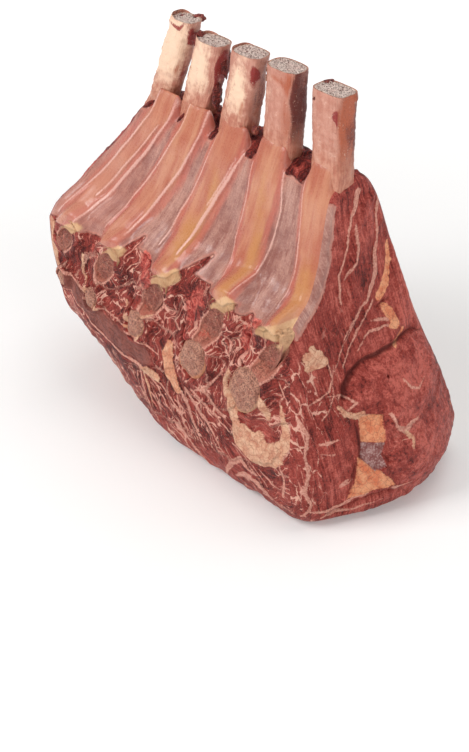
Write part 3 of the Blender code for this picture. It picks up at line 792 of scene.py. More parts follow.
# Red muscle with marbling, seams and fat, and the pleura, bare heads and raw patches laid over it in turn
def makeFlesh():
    look = Look("flesh")
    tint = tints(fleshColours)
    place = look.place()
    grain = look.vector("grain")
    tone, marble, warm = look.field("tone"), look.field("marble"), look.field("warm")
    seam, fat, crease = look.field("seam"), look.field("fat"), look.field("crease")
    pleura, rib, cap, fold = look.field("pleura"), look.field("rib"), look.field("cap"), look.field("fold")
    blood, brown, window = look.field("blood"), look.field("brown"), look.field("window")

    wide = look.noise(place, 0.035, 3.0) - 0.5
    middle = look.noise(place, 0.16, 4.0, 0.6) - 0.5
    small = look.noise(place, 0.7, 4.0, 0.65) - 0.5
    tiny = look.noise(place, 1.5, 3.0, 0.65) - 0.5
    fibre = look.noise(look.times(grain, (0.10, 0.9, 1.0)), 1.0, 4.0, 0.6) - 0.5
    strand = look.noise(look.times(grain, (0.04, 0.36, 1.0)), 1.0, 3.0, 0.5, 0.2) - 0.5

    # Muscle: dark to light by its tone, streaked along the grain
    depth = (tone + wide * 0.8 + middle * 0.9 + strand * 1.1 + fibre * 1.2 + small * 1.2 + tiny * 0.8).clip()
    meat = look.blend(depth.ramp(0.0, 0.5), tint["darkMeat"], tint["midMeat"])
    meat = look.blend(depth.ramp(0.45, 1.0), meat, tint["paleMeat"])
    meat = look.blend(brown * 0.85, meat, look.blend(depth, tint["brownDeep"], tint["brownPale"]))

    # Marbling: net of fine veins stretched along the grain, and short flecks
    warped = look.plus(look.times(grain, (0.075, 0.19, 1.0)),
                       look.times(look.noise(place, 0.22, 3.0, out=1), (0.55, 0.55, 0.0)))
    net = look.cells(warped, 1.0, "DISTANCE_TO_EDGE")
    netWidth = (marble * 0.072 + middle * 0.42 + wide * 0.25 - 0.035).high(0.0)
    veins = 1.0 - (net / (netWidth + 0.004)).ramp(0.5, 1.0)
    flecks = (strand + fibre * 0.25 + small * 0.15 + wide * 0.35).ramp(0.13, 0.18) * marble.ramp(0.25, 0.85)
    speck = (tiny + small * 0.8).ramp(0.24, 0.32) * 0.55
    white = (veins * marble.ramp(0.15, 0.6)).high(flecks).high(speck)
    marbling = look.blend((middle + 0.5).ramp(0.35, 0.65), tint["veinPink"], tint["veinPale"])
    flesh = look.blend(white * 0.92, meat, marbling)

    # Seams of silver skin, then fat in cream or orange
    seamEdge = (seam + small * 1.6 + middle * 1.2).ramp(-0.35, 0.45)
    skin = look.blend((small + 0.5).ramp(0.3, 0.7), tint["skinPink"], tint["skinPale"])
    flesh = look.blend(seamEdge * 0.85, flesh, skin)
    uneven = (middle + small * 0.6 + 0.5).ramp(0.3, 0.7)
    creamFat = look.blend(uneven, tint["creamDeep"], tint["creamPale"])
    orangeFat = look.blend(uneven, tint["orangeDeep"], tint["orangePale"])
    fatColour = look.blend(warm.clip(), creamFat, orangeFat)
    bent = look.plus(place, look.times(look.noise(place, 0.3, 2.0, out=1), (3.0, 3.0, 3.0)))
    cracks = look.cells(bent, 0.22, "DISTANCE_TO_EDGE").ramp(0.0, 0.07)
    fatColour = look.blend(cracks * 0.5 + 0.5, tint["fatCrack"], fatColour)
    fatEdge = (fat + small * 2.2 + middle * 2.4).ramp(-0.3, 0.6)
    flesh = look.blend(fatEdge, flesh, fatColour)
    # Clear lilac membrane in the window of the cut end
    sheen = look.blend((middle + small + 0.5).ramp(0.35, 0.7), tint["windowDeep"], tint["windowPale"])
    flesh = look.blend((window + small * 1.5).ramp(-0.2, 0.6), flesh, sheen)

    # Pleura: tan rib bands, lilac grey between them, red edges, and pale ridges along the folds that are
    # painted highlights
    over = look.noise(look.times(grain, (0.02, 0.16, 1.0)), 1.0, 3.0, 0.6) - 0.5
    hair = look.noise(look.times(grain, (0.10, 1.5, 1.0)), 1.0, 3.0, 0.6) - 0.5
    mottled = look.plus(look.times(grain, (0.9, 0.9, 0.0)), look.times(place, (0.03, 0.03, 0.03)))
    slant = look.noise(mottled, 1.0, 2.0, 0.6) - 0.5
    between = look.blend((over + middle + 0.5).ramp(0.25, 0.75), tint["pleuraDeep"], tint["pleuraMid"])
    between = look.blend((hair * 0.8 + slant * 0.7 + over + 0.5).ramp(0.4, 0.9), between, tint["pleuraPale"])
    band = look.blend((over * 1.2 + wide + 0.5).ramp(0.25, 0.75), tint["bandDeep"], tint["bandPale"])
    band = look.blend((warm + middle * 0.5 + over * 0.4).ramp(0.2, 0.85), band, tint["bandWarm"])
    sheet = look.blend((rib + over * 13.0 + middle * 7.0).ramp(-5.5, 5.0), between, band)
    flush = (1.0 - ((rib + 0.5 + over * 10.0).size() / 4.5).ramp(0.15, 1.0)) * (middle + 0.75).clip()
    sheet = look.blend(flush * 0.75, sheet, tint["bandFlush"])
    farther = look.node("ShaderNodeSeparateXYZ", None, {0: place}).ramp(-30.0, -110.0)
    sheet = look.blend(farther * (over + hair + 0.6).clip() * 0.7, sheet, tint["farFlush"])
    # Pale colour along the raised folds: a painted highlight on their ridges
    sheet = look.blend((fold + small * 1.3 + hair * 1.2).ramp(-0.5, 0.6) * 0.8, sheet, tint["foldHighlight"])
    sheet = look.blend((hair + fibre * 0.5).ramp(0.16, 0.34) * 0.35, sheet, tint["hairPale"])
    sheet = look.blend((hair + fibre * 0.6).ramp(-0.16, -0.34) * 0.35, sheet, tint["hairRed"])
    onPleura = (pleura + small * 2.6 + middle * 3.0).ramp(-0.5, 0.7)
    flesh = look.blend(onPleura, flesh, sheet)
    rim = (1.0 - ((pleura + small * 2.6 + middle * 3.0 - 1.0).size() / 1.4).clip()) * 0.55
    flesh = look.blend(rim, flesh, tint["pleuraRim"])

    # Gristle caps over the rib heads, raw blood beside them, and the shade in slits and creases
    capColour = look.blend((middle + 0.5).ramp(0.3, 0.7), tint["gristleDeep"], tint["gristlePale"])
    flesh = look.blend((cap + small * 1.2 + middle * 3.0).ramp(-0.6, 1.4), flesh, capColour)
    # Bare rib heads: speckled marrow, a reddish rim and gristle at the upper end
    pores = (tiny * 1.2 + small * 0.8).ramp(0.0, 0.16)
    head = look.blend((small + middle + 0.5).ramp(0.3, 0.7), tint["marrowDeep"], tint["marrowPale"])
    head = look.blend(pores * 0.75, head, tint["marrowPore"])
    head = look.blend((middle + wide).ramp(0.10, 0.22) * 0.6, head, tint["marrowBlood"])
    aslant = look.field("aslant") + middle * 8.0 + small * 4.0
    head = look.blend(aslant.ramp(8.0, 15.0) * 0.4, head, tint["gristleShade"])
    head = look.blend(aslant.ramp(13.0, 18.0), head, capColour)
    bareBone = look.field("bareBone") + small * 1.2 + middle * 2.0
    head = look.blend(bareBone.ramp(2.2, 0.8) * 0.8, head, tint["headRim"])
    flesh = look.blend(bareBone.ramp(-0.3, 0.5), flesh, head)
    raw = (blood + middle * 1.1 + small * 0.8).ramp(0.26, 0.56)
    redRaw = look.blend((small * 1.5 + middle + 0.5).ramp(0.35, 0.8), tint["rawDeep"], tint["rawPale"])
    flesh = look.blend(raw * 0.82, flesh, redRaw)
    shade = (crease + small * 1.4).ramp(-1.4, 0.7)
    flesh = look.blend(shade * 0.75, flesh, tint["creaseShade"])

    # Pleura is wet and tight; cut meat is moist, with fine grain standing up
    rough = 0.46 + small * 0.25 - onPleura * 0.17 - (window.ramp(-0.5, 0.5) * 0.2)
    height = fibre * 0.7 + small * 0.9 + tiny * 0.35 + white * 0.15 + middle * 0.9
    taut = hair * 0.25 + over * 0.5 + small * 0.12
    soft = look.node("ShaderNodeMix", {"data_type": "FLOAT"}, {0: onPleura, 2: height, 3: taut})
    normal = look.bump(soft, 0.0016, 1.0)
    return look.finish(flesh, rough.clip(), normal, coat=onPleura * 0.3, specular=0.3)


boneColours = {
    "shaftDeep": (194, 126, 106), "shaftPale": (214, 156, 136), "cream": (252, 214, 184),
    "orange": (184, 94, 62), "brown": (112, 42, 30), "blood": (150, 44, 38), "streak": (164, 74, 56),
    "scraped": (240, 200, 180), "clingDeep": (184, 108, 84), "clingPale": (212, 148, 122),
    "topBone": (240, 216, 204), "topPore": (132, 82, 70), "topFlush": (196, 140, 128),
    "marrowDeep": (150, 70, 56), "marrowPale": (210, 134, 110), "marrowPore": (92, 28, 22),
    "marrowBlood": (172, 46, 38), "gristleDeep": (224, 166, 124), "gristlePale": (244, 194, 148),
    "gristleShade": (136, 92, 62), "headLip": (186, 116, 96), "topLip": (228, 196, 172),
}


# Scraped bone streaked along the shaft, with the sawn ends told apart by cap: 1 is a head, 2 a top
def makeBone():
    look = Look("bone")
    tint = tints(boneColours)
    place = look.place()
    grain = look.vector("grain")
    cap, edge = look.field("cap"), look.field("edge")
    cream, orange, red, brown = (look.field(key) for key in ("cream", "orange", "red", "brown"))
    middle = look.noise(place, 0.18, 4.0, 0.6) - 0.5
    small = look.noise(place, 0.8, 4.0, 0.65) - 0.5
    tiny = look.noise(place, 1.15, 3.0, 0.75) - 0.5
    lines = look.noise(look.times(grain, (0.05, 0.8, 1.0)), 1.0, 4.0, 0.6) - 0.5

    streaks = (middle + lines * 0.8 + 0.5).ramp(0.25, 0.75)
    shaft = look.blend(streaks, tint["shaftDeep"], tint["shaftPale"])
    shaft = look.blend((cream + middle * 0.9 + lines * 0.6).ramp(0.25, 0.8), shaft, tint["cream"])
    shaft = look.blend((orange + middle * 0.8 + lines * 0.8).ramp(0.25, 0.85), shaft, tint["orange"])
    # Brown on the side of each shaft turned away from the key light is painted shade
    shadedSide = (brown + lines * 0.9 + small * 0.8 + middle * 0.6).ramp(0.25, 0.85)
    shaft = look.blend(shadedSide, shaft, tint["brown"])
    shaft = look.blend((red + middle * 0.9 + small * 0.6).ramp(0.4, 0.75), shaft, tint["blood"])
    shaft = look.blend((lines + small * 0.6).ramp(0.10, 0.30) * 0.55, shaft, tint["streak"])
    shaft = look.blend((middle + small * 1.2).ramp(0.16, 0.36) * 0.6, shaft, tint["scraped"])

    # Low on the shaft the membrane still clings and hides the bone
    upward = look.node("ShaderNodeSeparateXYZ", None, {0: place}, "Z") + middle * 26.0 + lines * 14.0
    cling = look.blend((lines + middle + 0.5).ramp(0.3, 0.7), tint["clingDeep"], tint["clingPale"])
    shaft = look.blend(upward.ramp(268.0, 246.0) * 0.85, shaft, cling)

    # Sawn ends: spongy core with dark pores inside a hard pale rim
    pores = (tiny * 1.2 + small * 0.6).ramp(0.02, 0.16)
    top = look.blend(pores, tint["topBone"], tint["topPore"])
    top = look.blend((middle + 0.5).ramp(0.4, 0.7) * 0.3, top, tint["topFlush"])
    marrow = look.blend((small + middle + 0.5).ramp(0.3, 0.7), tint["marrowDeep"], tint["marrowPale"])
    marrow = look.blend(pores * 0.75, marrow, tint["marrowPore"])
    marrow = look.blend((middle * 1.2 + 0.5).ramp(0.55, 0.75) * 0.6, marrow, tint["marrowBlood"])
    gristle = look.blend((middle + 0.5).ramp(0.3, 0.7), tint["gristleDeep"], tint["gristlePale"])
    aslant = look.field("aslant") + middle * 9.0 + small * 4.0
    marrow = look.blend(aslant.ramp(2.0, 9.0) * 0.4, marrow, tint["gristleShade"])
    marrow = look.blend(aslant.ramp(7.0, 12.0), marrow, gristle)
    core = look.blend((cap - 1.0).clip(), marrow, top)
    lip = look.blend((cap - 1.0).clip(), tint["headLip"], tint["topLip"])
    width = 2.6 - (cap - 1.0).clip() * 1.5
    sawn = look.blend((edge + middle * 2.2 - width).ramp(-0.8, 0.8), lip, core)
    colour = look.blend(cap.clip(), shaft, sawn)
    height = look.node("ShaderNodeMix", {"data_type": "FLOAT"},
                       {0: cap.clip(), 2: lines * 0.6 + small * 0.5, 3: small - pores * 0.7})
    normal = look.bump(height, 0.0018, 1.0)
    rough = 0.42 + small * 0.2 + cap.clip() * 0.14
    return look.finish(colour, rough.clip(), normal, coat=0.10, specular=0.4)


stubColours = {
    "spongyDeep": (176, 112, 92), "spongyPale": (214, 156, 130), "pore": (98, 48, 38),
    "hardDeep": (212, 158, 124), "hardPale": (226, 182, 148), "hardWarm": (214, 138, 98),
}


# Spongy sawn bone inside a harder rim
def makeStub():
    look = Look("sawnBackbone")
    tint = tints(stubColours)
    place = look.place()
    edge = look.field("edge")
    warm = look.field("warm")
    middle = look.noise(place, 0.2, 4.0, 0.6) - 0.5
    small = look.noise(place, 0.8, 4.0, 0.65) - 0.5
    tiny = look.noise(place, 1.1, 3.0, 0.75) - 0.5
    pores = (tiny * 1.2 + small * 0.6).ramp(0.0, 0.13)
    spongy = look.blend((middle + 0.5).ramp(0.3, 0.7), tint["spongyDeep"], tint["spongyPale"])
    spongy = look.blend(pores * 0.8, spongy, tint["pore"])
    hard = look.blend((middle + 0.5).ramp(0.3, 0.7), tint["hardDeep"], tint["hardPale"])
    hard = look.blend(warm.clip(), hard, tint["hardWarm"])
    colour = look.blend((edge + middle * 3.0 + small).ramp(0.0, 1.4), hard, spongy)
    normal = look.bump(small - pores * 0.5, 0.0009, 0.9)
    return look.finish(colour, (0.5 + small * 0.2).clip(), normal, coat=0.08, specular=0.4)


scrapColours = {
    "redDeep": (86, 16, 14), "redPale": (190, 84, 72), "fatDeep": (204, 140, 96),
    "fatPale": (226, 182, 134), "glint": (220, 150, 132),
}


# Torn bits, red meat or pale fat by the fat field
def makeScrap():
    look = Look("scrap")
    tint = tints(scrapColours)
    place = look.place()
    fat = look.field("fat")
    middle = look.noise(place, 0.3, 4.0, 0.6) - 0.5
    small = look.noise(place, 1.0, 4.0, 0.65) - 0.5
    red = look.blend((middle + small * 1.6 + 0.5).ramp(0.25, 0.85), tint["redDeep"], tint["redPale"])
    pale = look.blend((middle + small + 0.5).ramp(0.25, 0.75), tint["fatDeep"], tint["fatPale"])
    colour = look.blend((fat + middle * 0.8).ramp(0.3, 0.7), red, pale)
    colour = look.blend((small + middle).ramp(0.25, 0.4) * 0.5, colour, tint["glint"])
    normal = look.bump(small + middle, 0.0026, 1.0)
    return look.finish(colour, (0.38 + small * 0.2).clip(), normal, coat=0.2, specular=0.45)


flesh = makeFlesh()
bone = makeBone()
sawnBackbone = makeStub()
scrap = makeScrap()
print("materials made")


# Where the body's surface is parted: lengths round the section, rows along it, and a point inside
meatRides = {"nodes": ["meat"], "slot": "meat"}
wholeLength = sectionLength[-1]
split = {"start": lengthAt(25.4) - wholeLength, "ledge": lengthAt(14.25), "end": lengthAt(25.4),
         "farRow": 1.65, "nearRow": 3.35, "fade": 5.0, "hub": (-0.01, 0.005, 0.11), "farSize": 0.93,
         "farLift": 3}


# How far the relief is let out: nothing along a piece's border, all of it a few mm inside
def letOut(grid):
    away = np.full(grid.shape[:2], 99.0)
    for border in (grid[0], grid[-1], grid[:, 0], grid[:, -1]):
        step = max(1, len(border) // 90)
        for point in border[::step]:
            away = np.minimum(away, 1000 * np.linalg.norm(grid - point, axis=-1))
    return smooth((away - 1.5) / split["fade"])


# Fields of a grid of count points, with the last point's value again for the closing points
def withHubs(fields, count, hubs):
    flat = {key: value.reshape(count, -1) for key, value in fields.items()}
    return {key: np.concatenate((value, *[value[-1:]] * hubs)).squeeze() for key, value in flat.items()}


# A side wall between two lengths of the section, from rim to rim, pushed out along its normal by its
# relief. A fan from its border to a point inside the body closes it
def wallPiece(name, first, last, rows, columns, looks):
    lengths = np.linspace(first, last, columns)
    steps = stepAt(lengths % wholeLength)
    along = np.concatenate((np.linspace(split["farRow"], 2, 7)[:-1], np.linspace(2, 3, rows)[:-1],
                            np.linspace(3, split["nearRow"], 7)))
    u, t = np.meshgrid(along, steps, indexing="ij")
    grid = bodyPoint(t, u)
    out = bodyNormal(t, u)
    spot = grid * 1000
    at = np.stack((spot[..., 0], spot[..., 2]), axis=-1)
    length = np.broadcast_to(lengths * 1000, u.shape)
    height, fields = looks(at, spot, length)
    free = letOut(grid)
    grid = settle(grid + (out * height[..., None] + fields.pop("push", 0)) * free[..., None] / 1000)
    count = grid.shape[0] * grid.shape[1]
    index = np.arange(count).reshape(grid.shape[:2])
    border = np.concatenate((index[0, :-1], index[:-1, -1], index[-1, :0:-1], index[:0:-1, 0]))
    points = np.vstack((grid.reshape(-1, 3), split["hub"]))
    faces = [face[::-1] for face in gridFaces(*grid.shape[:2], False) + fan(border, count)]
    return makePiece(name, points, faces, flesh, withHubs(fields, count, 1), meatRides)


# A cut end: loops drawn in from just round the rim to the middle, closed behind by a fan. The far one
# is flipped, and its marks are those of the near cut drawn to its smaller size
def cutPiece(name, rims, rows, columns, flip):
    lengths = np.arange(columns) / columns * wholeLength
    inward = 1 - np.linspace(0, 1, rows)[1:-1] ** 0.94
    along = np.concatenate((rims, 5 - inward if not flip else inward))
    u, t = np.meshgrid(along, stepAt(lengths), indexing="ij")
    grid = bodyPoint(t, u)
    out = bodyNormal(t, u)
    spot = grid * 1000
    at = spot[..., 1:3].copy()
    if flip:
        at = np.stack((at[..., 0] / split["farSize"], at[..., 1] - split["farLift"]), axis=-1)
    height, fields = nearLooks(at, spot)
    rimGap = np.linalg.norm(grid - grid[:1], axis=-1) * 1000
    grid = settle(grid + out * (height * smooth((rimGap - 1.0) / 9.0))[..., None] / 1000)
    count = grid.shape[0] * columns
    index = np.arange(count).reshape(-1, columns)
    middle, hub = count, count + 1
    inside = (grid[0].mean(axis=0) + np.array(split["hub"])) / 2
    points = np.vstack((grid.reshape(-1, 3), grid[-1].mean(axis=0), inside))
    faces = gridFaces(grid.shape[0], columns, True) + fan(index[-1], middle, True) + fan(index[0], hub)
    if not flip:
        faces = [face[::-1] for face in faces]
    return makePiece(name, points, faces, flesh, withHubs(fields, count, 2), meatRides)


wallPiece("innerWall", split["start"], split["ledge"], int(270 * fine), int(320 * fine), innerLooks)
wallPiece("outerWall", split["ledge"], split["end"], int(200 * fine), int(300 * fine), outerLooks)
cutPiece("nearCut", np.linspace(split["nearRow"], 4, 9), int(118 * fine), int(700 * fine), False)
cutPiece("farCut", np.linspace(split["farRow"], 1, 9), int(90 * fine), int(480 * fine), True)


# Marks on each shaft as (turn in degrees, height in mm, reach, reach, amount): a turn of 0 looks
# along +X, -90 along -Y
# The brown marks lie on the sides turned away from the key light: painted shade
ribMarks = (
    {"cream": ((-100, 262, 40, 14, 0.15),), "orange": ((0, 268, 48, 44, 1.3), (-60, 285, 18, 4, 0.5)),
     "red": ((-66, 284, 13, 5, 1.1), (-55, 278, 7, 5, 0.9), (-20, 244, 34, 5, 0.9), (0, 297, 60, 1.5, 0.5)),
     "brown": ((16, 262, 26, 44, 0.85),)},
    {"cream": ((-120, 276, 30, 26, 0.35),), "orange": ((-60, 262, 26, 34, 0.6), (-70, 292, 50, 6, 0.6)),
     "red": ((-20, 245, 34, 6, 0.9), (-40, 252, 12, 5, 0.6)),
     "brown": ((-20, 268, 22, 44, 1.4), (30, 270, 34, 40, 1.0))},
    {"cream": ((-90, 272, 40, 30, 0.75), (-70, 264, 14, 8, 0.6)),
     "orange": ((-64, 262, 12, 8, 0.7), (-20, 262, 22, 14, 0.5)),
     "red": ((-28, 287, 26, 7, 1.2), (-10, 246, 40, 8, 1.0), (-58, 250, 16, 4, 0.8), (20, 270, 30, 30, 0.4)),
     "brown": ((10, 270, 24, 34, 0.6),)},
    {"cream": ((-100, 276, 50, 34, 0.85),), "orange": ((-50, 270, 14, 30, 0.4), (-80, 252, 20, 10, 0.5)),
     "red": ((-6, 282, 22, 12, 1.1), (-22, 262, 10, 14, 1.1), (-10, 246, 30, 9, 1.1), (20, 262, 26, 20, 0.8)),
     "brown": ((30, 270, 30, 30, 0.6),)},
    {"cream": ((-90, 276, 80, 40, 1.2),), "orange": ((-40, 268, 20, 8, 0.6), (-60, 248, 24, 8, 0.4)),
     "red": ((-10, 291, 30, 7, 1.1), (0, 262, 26, 14, 0.6), (-90, 300, 90, 2, 0.7)),
     "brown": ((20, 256, 30, 16, 0.6),)},
)


# A rib: an oval tube along its line, flared into the head. Its section is a superellipse across the
# line's own X and depth, its ends are sheared flat to the saw cuts and closed by loops drawn inward.
def ribPiece(number):
    marks = ribMarks[number]
    rows, columns, caps = int(190 * fine), int(96 * fine), int(16 * fine)
    line = np.vstack((ribs["line"], (ribs["topY"], ribs["topZ"][number])))
    dense = curve(line, np.linspace(0, len(line) - 1, 400))
    length = np.concatenate(([0.0], np.cumsum(np.linalg.norm(np.diff(dense, axis=0), axis=1))))
    rise = np.linspace(0, 1, rows)
    y, z = (np.interp(rise * length[-1], length, dense[:, axis]) for axis in (0, 1))
    x = mix(ribs["headX"][number], ribs["topX"][number], rise)
    z = z - ribs["drop"][number] * (1 - smooth(rise / ribs["dropReach"]))
    path = np.stack((x, y, z), axis=1)
    ahead = np.gradient(path, axis=0)
    ahead /= np.linalg.norm(ahead, axis=1)[:, None]
    wide = np.array((1.0, 0.0, 0.0)) - ahead * ahead[:, :1]
    wide /= np.linalg.norm(wide, axis=1)[:, None]
    deep = np.cross(ahead, wide)
    slant = np.radians(ribs["slant"] * (1 - smooth(rise / ribs["slantReach"])))[:, None]
    wide, deep = wide * np.cos(slant) - deep * np.sin(slant), deep * np.cos(slant) + wide * np.sin(slant)
    flare = 1 + ribs["flare"] * (1 - smooth(rise / ribs["flareReach"]))
    angle = np.arange(columns) * 2 * math.pi / columns
    power = 2 / mix(ribs["headPower"], ribs["square"][number], smooth(rise / 0.5))[:, None]
    across = np.sign(np.cos(angle)) * np.abs(np.cos(angle)) ** power
    through = np.sign(np.sin(angle)) * np.abs(np.sin(angle)) ** power
    halfWide, halfDeep = (0.5 * ribs[key][number] * flare for key in ("width", "thick"))
    halfDeep = halfDeep * mix(ribs["headDepth"], 1.0, smooth(rise / ribs["flareReach"]))
    tube = (path[:, None] + (halfWide[:, None] * across)[..., None] * wide[:, None]
            + (halfDeep[:, None] * through)[..., None] * deep[:, None])
    tube[0] += ahead[0] * (path[0, 1] - tube[0, :, 1:2]) / ahead[0, 1]
    tube[-1] += ahead[-1] * (path[-1, 2] - tube[-1, :, 2:]) / ahead[-1, 2]
    tube[1:, :, 1] = np.maximum(tube[1:, :, 1], path[0, 1] - 0.0022 * smooth(rise[1:, None] * 25))
    outward = tube - path[:, None]
    outward /= np.linalg.norm(outward, axis=-1, keepdims=True)
    spot = tube * 1000 + 70 * number
    turn = (np.degrees(angle) + 180) % 360 - 180
    marked = np.stack((np.broadcast_to(turn, tube.shape[:2]), tube[..., 2] * 1000), axis=-1)
    marked = marked + np.stack((8 * lumps(spot, 16, 61), 3 * lumps(spot, 12, 62)), axis=-1)
    values = {key: spots(marked, marks[key]) for key in ("cream", "orange", "red", "brown")}
    # Lumps, clinging tissue and a slight swelling below the saw cut; nothing moves at the two ends
    bumps = 0.55 * lumps(spot * (1, 1, 0.4), 14, 63) + 0.22 * lumps(spot, 5, 64)
    bumps += 0.9 * smooth(values["red"] * 1.2)
    bumps += 0.5 * smooth(values["cream"]) * lumps(spot, 8, 65)
    bumps *= (smooth((rise - 0.12) * 12) * smooth((1 - rise) * 60))[:, None]
    tube += outward * bumps[..., None] / 1000
    shares = 1 - np.linspace(0, 1, caps + 1)[1:] ** 0.9 * 0.97
    head = path[0] + (tube[0] - path[0]) * shares[::-1, None, None]
    top = path[-1] + (tube[-1] - path[-1]) * shares[:, None, None]
    grit = 0.35 * lumps(head * 1000, 5, 66) + 0.25 * lumps(head * 1000, 2.6, 67) - 0.5
    head[..., 1] -= grit * smooth((1 - shares[::-1]) * 6)[:, None] / 1000
    chips = 0.45 * lumps(top * 1000, 4, 68) + 0.35 * lumps(top * 1000, 2.2, 69) - 0.3
    top[..., 2] += chips * smooth((1 - shares) * 8)[:, None] / 1000
    grid = np.concatenate((head, tube, top)) + np.array(body["place"])
    count = grid.shape[0] * columns
    nearHead = np.broadcast_to(smooth((0.16 - rise) / 0.05)[:, None], tube.shape[:2])
    radius = 1000 * np.linalg.norm(tube[[0, -1]] - path[[0, -1], None], axis=-1)
    edge = np.concatenate(((1 - shares[::-1, None]) * radius[0], 9 * nearHead - 1,
                           (1 - shares[:, None]) * radius[1]))
    cap = np.concatenate((np.ones(head.shape[:2]), nearHead, 2 * np.ones(top.shape[:2])))
    fields = {key: np.concatenate((np.zeros(head.shape[:2]), value, np.zeros(top.shape[:2])))
              for key, value in values.items()}
    rounds = np.broadcast_to(np.radians(turn) * 12, grid.shape[:2])
    aslant = ((grid[..., 0] - grid[0, :, 0].mean()) * math.cos(math.radians(ribs["slant"]))
              + (grid[..., 2] - grid[0, :, 2].mean()) * math.sin(math.radians(ribs["slant"]))) * 1000
    fields |= {"edge": edge, "cap": cap, "aslant": aslant,
               "grain": np.stack((grid[..., 2] * 1000, rounds, 0 * rounds + number), axis=-1)}
    return makePiece(f"ribBone{number + 1}", withPoles(grid), shellFaces(grid.shape[0], columns), bone,
                     withHubs(fields, count, 2), {"nodes": [f"rib_{number + 1}"], "slot": "rib_bone"})


for number in range(5):
    ribPiece(number)


# A stub: an oval flattened through Y and leaning in the backbone face, its loops shrinking by a
# power of the sine to both poles, with a chipped sawn face
def stubPiece(number):
    rows, columns = int(70 * fine), int(96 * fine)
    part, angle = ballAngles(rows, columns)
    half = np.array(stubs["size"]) / 2 * (stubs["scale"][number], 1, stubs["scale"][number])
    wobble = 1 + 0.07 * np.sin(3 * angle + number * 2) + 0.05 * np.sin(5 * angle + number)
    width = np.sin(part) ** stubs["rounding"] * wobble
    side = half[0] * np.sin(angle)
    lift = half[2] * np.cos(angle)
    lean = stubs["lean"]
    x = ribs["headX"][number] + stubs["aside"][number]
    x = x + width * (side * math.cos(lean) + lift * math.sin(lean))
    z = stubs["headZ"] - stubs["drop"] + width * (lift * math.cos(lean) - side * math.sin(lean))
    y = stubs["y"] - half[1] * np.cos(part)
    grid = np.stack((x, y, z), axis=-1) + np.array(body["place"])
    spot = grid * 1000
    face = smooth((np.cos(part) - 0.5) * 4)
    grid[..., 1] += face * (0.3 * lumps(spot, 6, 71) + 0.3 * lumps(spot, 3, 72) + 0.2) / 1000
    edge = (1 - np.minimum(width, 1)) * 9 + face * 1.5 - 1.5 + 2.5 * smooth((spot[..., 2] - 90) / 14) - 1.2
    warm = np.full(edge.shape, stubs["warm"][number])
    return makePiece(f"backboneStub{number + 1}", withPoles(settle(grid)), shellFaces(rows, columns),
                     sawnBackbone, withHubs({"edge": edge, "warm": warm}, rows * columns, 2),
                     {"nodes": [f"chine_stub_{number + 1}"], "slot": "chine_bone"})


for number in range(5):
    stubPiece(number)


# Each scrap: middle and half sizes in mm, how fatty it is from 0 to 1, and its seed
scraps = (
    (65, -8, 237, 13, 9, 4.2, 0.0, 1), (58, -16, 236, 6, 5, 3.6, 0.1, 2), (71, -17, 236, 6, 4, 3.0, 0.25, 3),
    (30, -9, 238, 9, 9, 4.0, 0.0, 4), (35, -15, 239, 5, 4, 4.0, 0.0, 5), (25, -19, 236, 4, 3, 2.4, 0.2, 6),
    (-6, -9, 238, 8, 9, 4.0, 0.0, 7), (-1, -16, 239, 4, 4, 4.0, 0.2, 8), (-11, -18, 237, 4, 3, 2.4, 0.0, 9),
    (-34, -9, 239, 6, 9, 4.5, 0.0, 10), (-33, -15, 240, 4, 4, 4.5, 0.0, 11),
    (75, -12, 250, 1.6, 4, 6.0, 0.3, 15), (24, -22, 250, 2, 2.0, 3.0, 0.3, 16),
    (30.5, -14, 289, 2.0, 4, 5.6, 0.45, 17), (31, -13, 280, 1.6, 3, 3.4, 0.35, 18),
    (0, -8, 291, 2.0, 5, 3.6, 0.35, 20),
    (-14, -12, 282, 2.0, 4, 10.0, 0.05, 21), (-18, -16, 258, 2.4, 4, 9.0, 0.15, 22),
    (-38, -16, 273, 2.8, 4, 5.0, 0.8, 23), (-36, -14, 292, 3.2, 5, 5.0, 0.05, 24),
    (-56, -14, 299, 2.6, 5, 2.4, 0.25, 25), (-48, -6, 300, 5.0, 4, 2.2, 0.15, 26),
    (-39, -12, 262, 2.0, 3.5, 8.0, 0.6, 27), (76, -20, 290, 2.0, 3.0, 1.8, 0.35, 28),
    (74, -8, 296, 2.6, 3.4, 1.2, 0.35, 29),
)


# All scraps as one mesh. Each is a ball drawn out to its half sizes, its radius pushed in and out by
# seeded waves
def scrapShapes():
    rows, columns = int(40 * fine), int(56 * fine)
    part, angle = ballAngles(rows, columns)
    ball = np.stack((np.sin(part) * np.cos(angle), np.sin(part) * np.sin(angle), np.cos(part)), axis=-1)
    points, faces, fats = [], [], []
    closing = rows * columns + 2
    shell = [face[::-1] for face in shellFaces(rows, columns)]
    for x, y, z, reachX, reachY, reachZ, fat, seed in scraps:
        size = 1 + 0.24 * lumps(ball * 10, 14, 80 + seed) + 0.16 * lumps(ball * 10, 6, 180 + seed)
        size += 0.07 * lumps(ball * 10, 3, 280 + seed)
        shape = np.array((x, y, z)) + ball * size[..., None] * np.array((reachX, reachY, reachZ))
        shift = len(points) * closing
        faces += [[corner + shift for corner in face] for face in shell]
        points.append(withPoles(shape) / 1000)
        fats.append(np.full(closing, fat))
    return np.vstack(points), faces, np.concatenate(fats)


points, faces, fats = scrapShapes()
makePiece("scraps", points, faces, scrap, {"fat": fats}, meatRides)


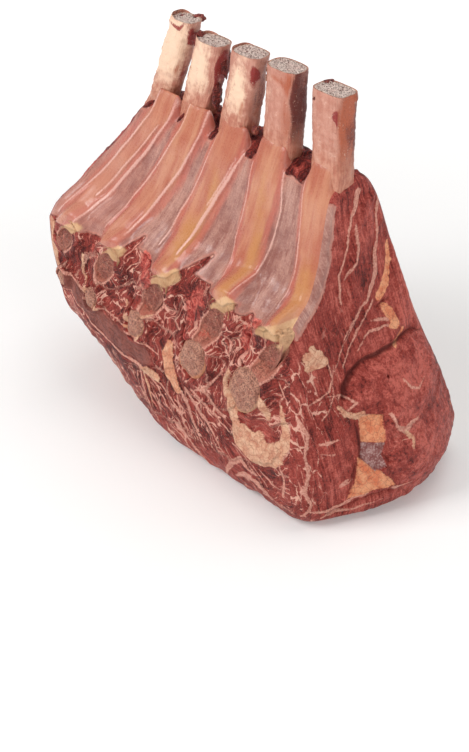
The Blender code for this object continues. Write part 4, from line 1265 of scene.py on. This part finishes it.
# A white table just under the roast. It glows more with distance, so that it goes over into the backdrop
table = {
    "half": 6.0, "z": -0.0004, "colour": (0.86, 0.855, 0.845, 1.0), "roughness": 0.32, "specular": 0.25,
    "nearGlow": (0.14, 0.14, 0.14, 1.0), "farGlow": (0.50, 0.50, 0.50, 1.0), "glowReach": (180.0, 900.0),
}
half, level = table["half"], table["z"]
corners = [(-half, -half, level), (half, -half, level), (half, half, level), (-half, half, level)]
tableMesh = bpy.data.meshes.new("tableTop")
tableMesh.from_pydata(corners, [], [(0, 1, 2, 3)])
look = Look("tableTop")
away = look.node("ShaderNodeVectorMath", {"operation": "LENGTH"}, {0: look.place()}, "Value")
glow = look.blend(away.ramp(*table["glowReach"]), table["nearGlow"], table["farGlow"])
tableMesh.materials.append(look.finish(table["colour"], table["roughness"], specular=table["specular"],
                                       glow=1.0, glowColour=glow))
tableTop = bpy.data.objects.new("tableTop", tableMesh)
bpy.context.scene.collection.objects.link(tableTop)

# Area lights: name, place, side and power, all turned to a point in the roast
lights = (
    ("keyPanel", (-0.55, -1.35, 1.35), 0.9, 23.5),
    ("fillPanel", (1.55, -0.25, 0.75), 1.0, 7.5),
    ("topPanel", (0.10, 0.35, 1.70), 1.2, 10.0),
)
lightTarget = Vector((0.0, 0.0, 0.12))
for name, place, size, power in lights:
    data = bpy.data.lights.new(name, "AREA")
    data.size = size
    data.energy = power
    panel = bpy.data.objects.new(name, data)
    panel.location = place
    panel.rotation_euler = (lightTarget - panel.location).to_track_quat("-Z", "Y").to_euler()
    bpy.context.scene.collection.objects.link(panel)

world = bpy.data.worlds.new("studio")
world.use_nodes = True
sky = world.node_tree.nodes["Background"]
sky.inputs["Color"].default_value = (1.0, 1.0, 1.0, 1.0)
sky.inputs["Strength"].default_value = 0.30
bpy.context.scene.world = world
bpy.context.scene.view_settings.view_transform = "Standard"

view = {"lens": 79.2, "place": (0.714, -0.692, 0.721), "gaze": (-0.5987, 0.5657, -0.5670)}
cameraData = bpy.data.cameras.new("camera")
cameraData.lens = view["lens"]
camera = bpy.data.objects.new("camera", cameraData)
camera.location = view["place"]
camera.rotation_euler = Vector(view["gaze"]).to_track_quat("-Z", "Y").to_euler()
bpy.context.scene.collection.objects.link(camera)
bpy.context.scene.camera = camera
print("table, lights and camera placed")
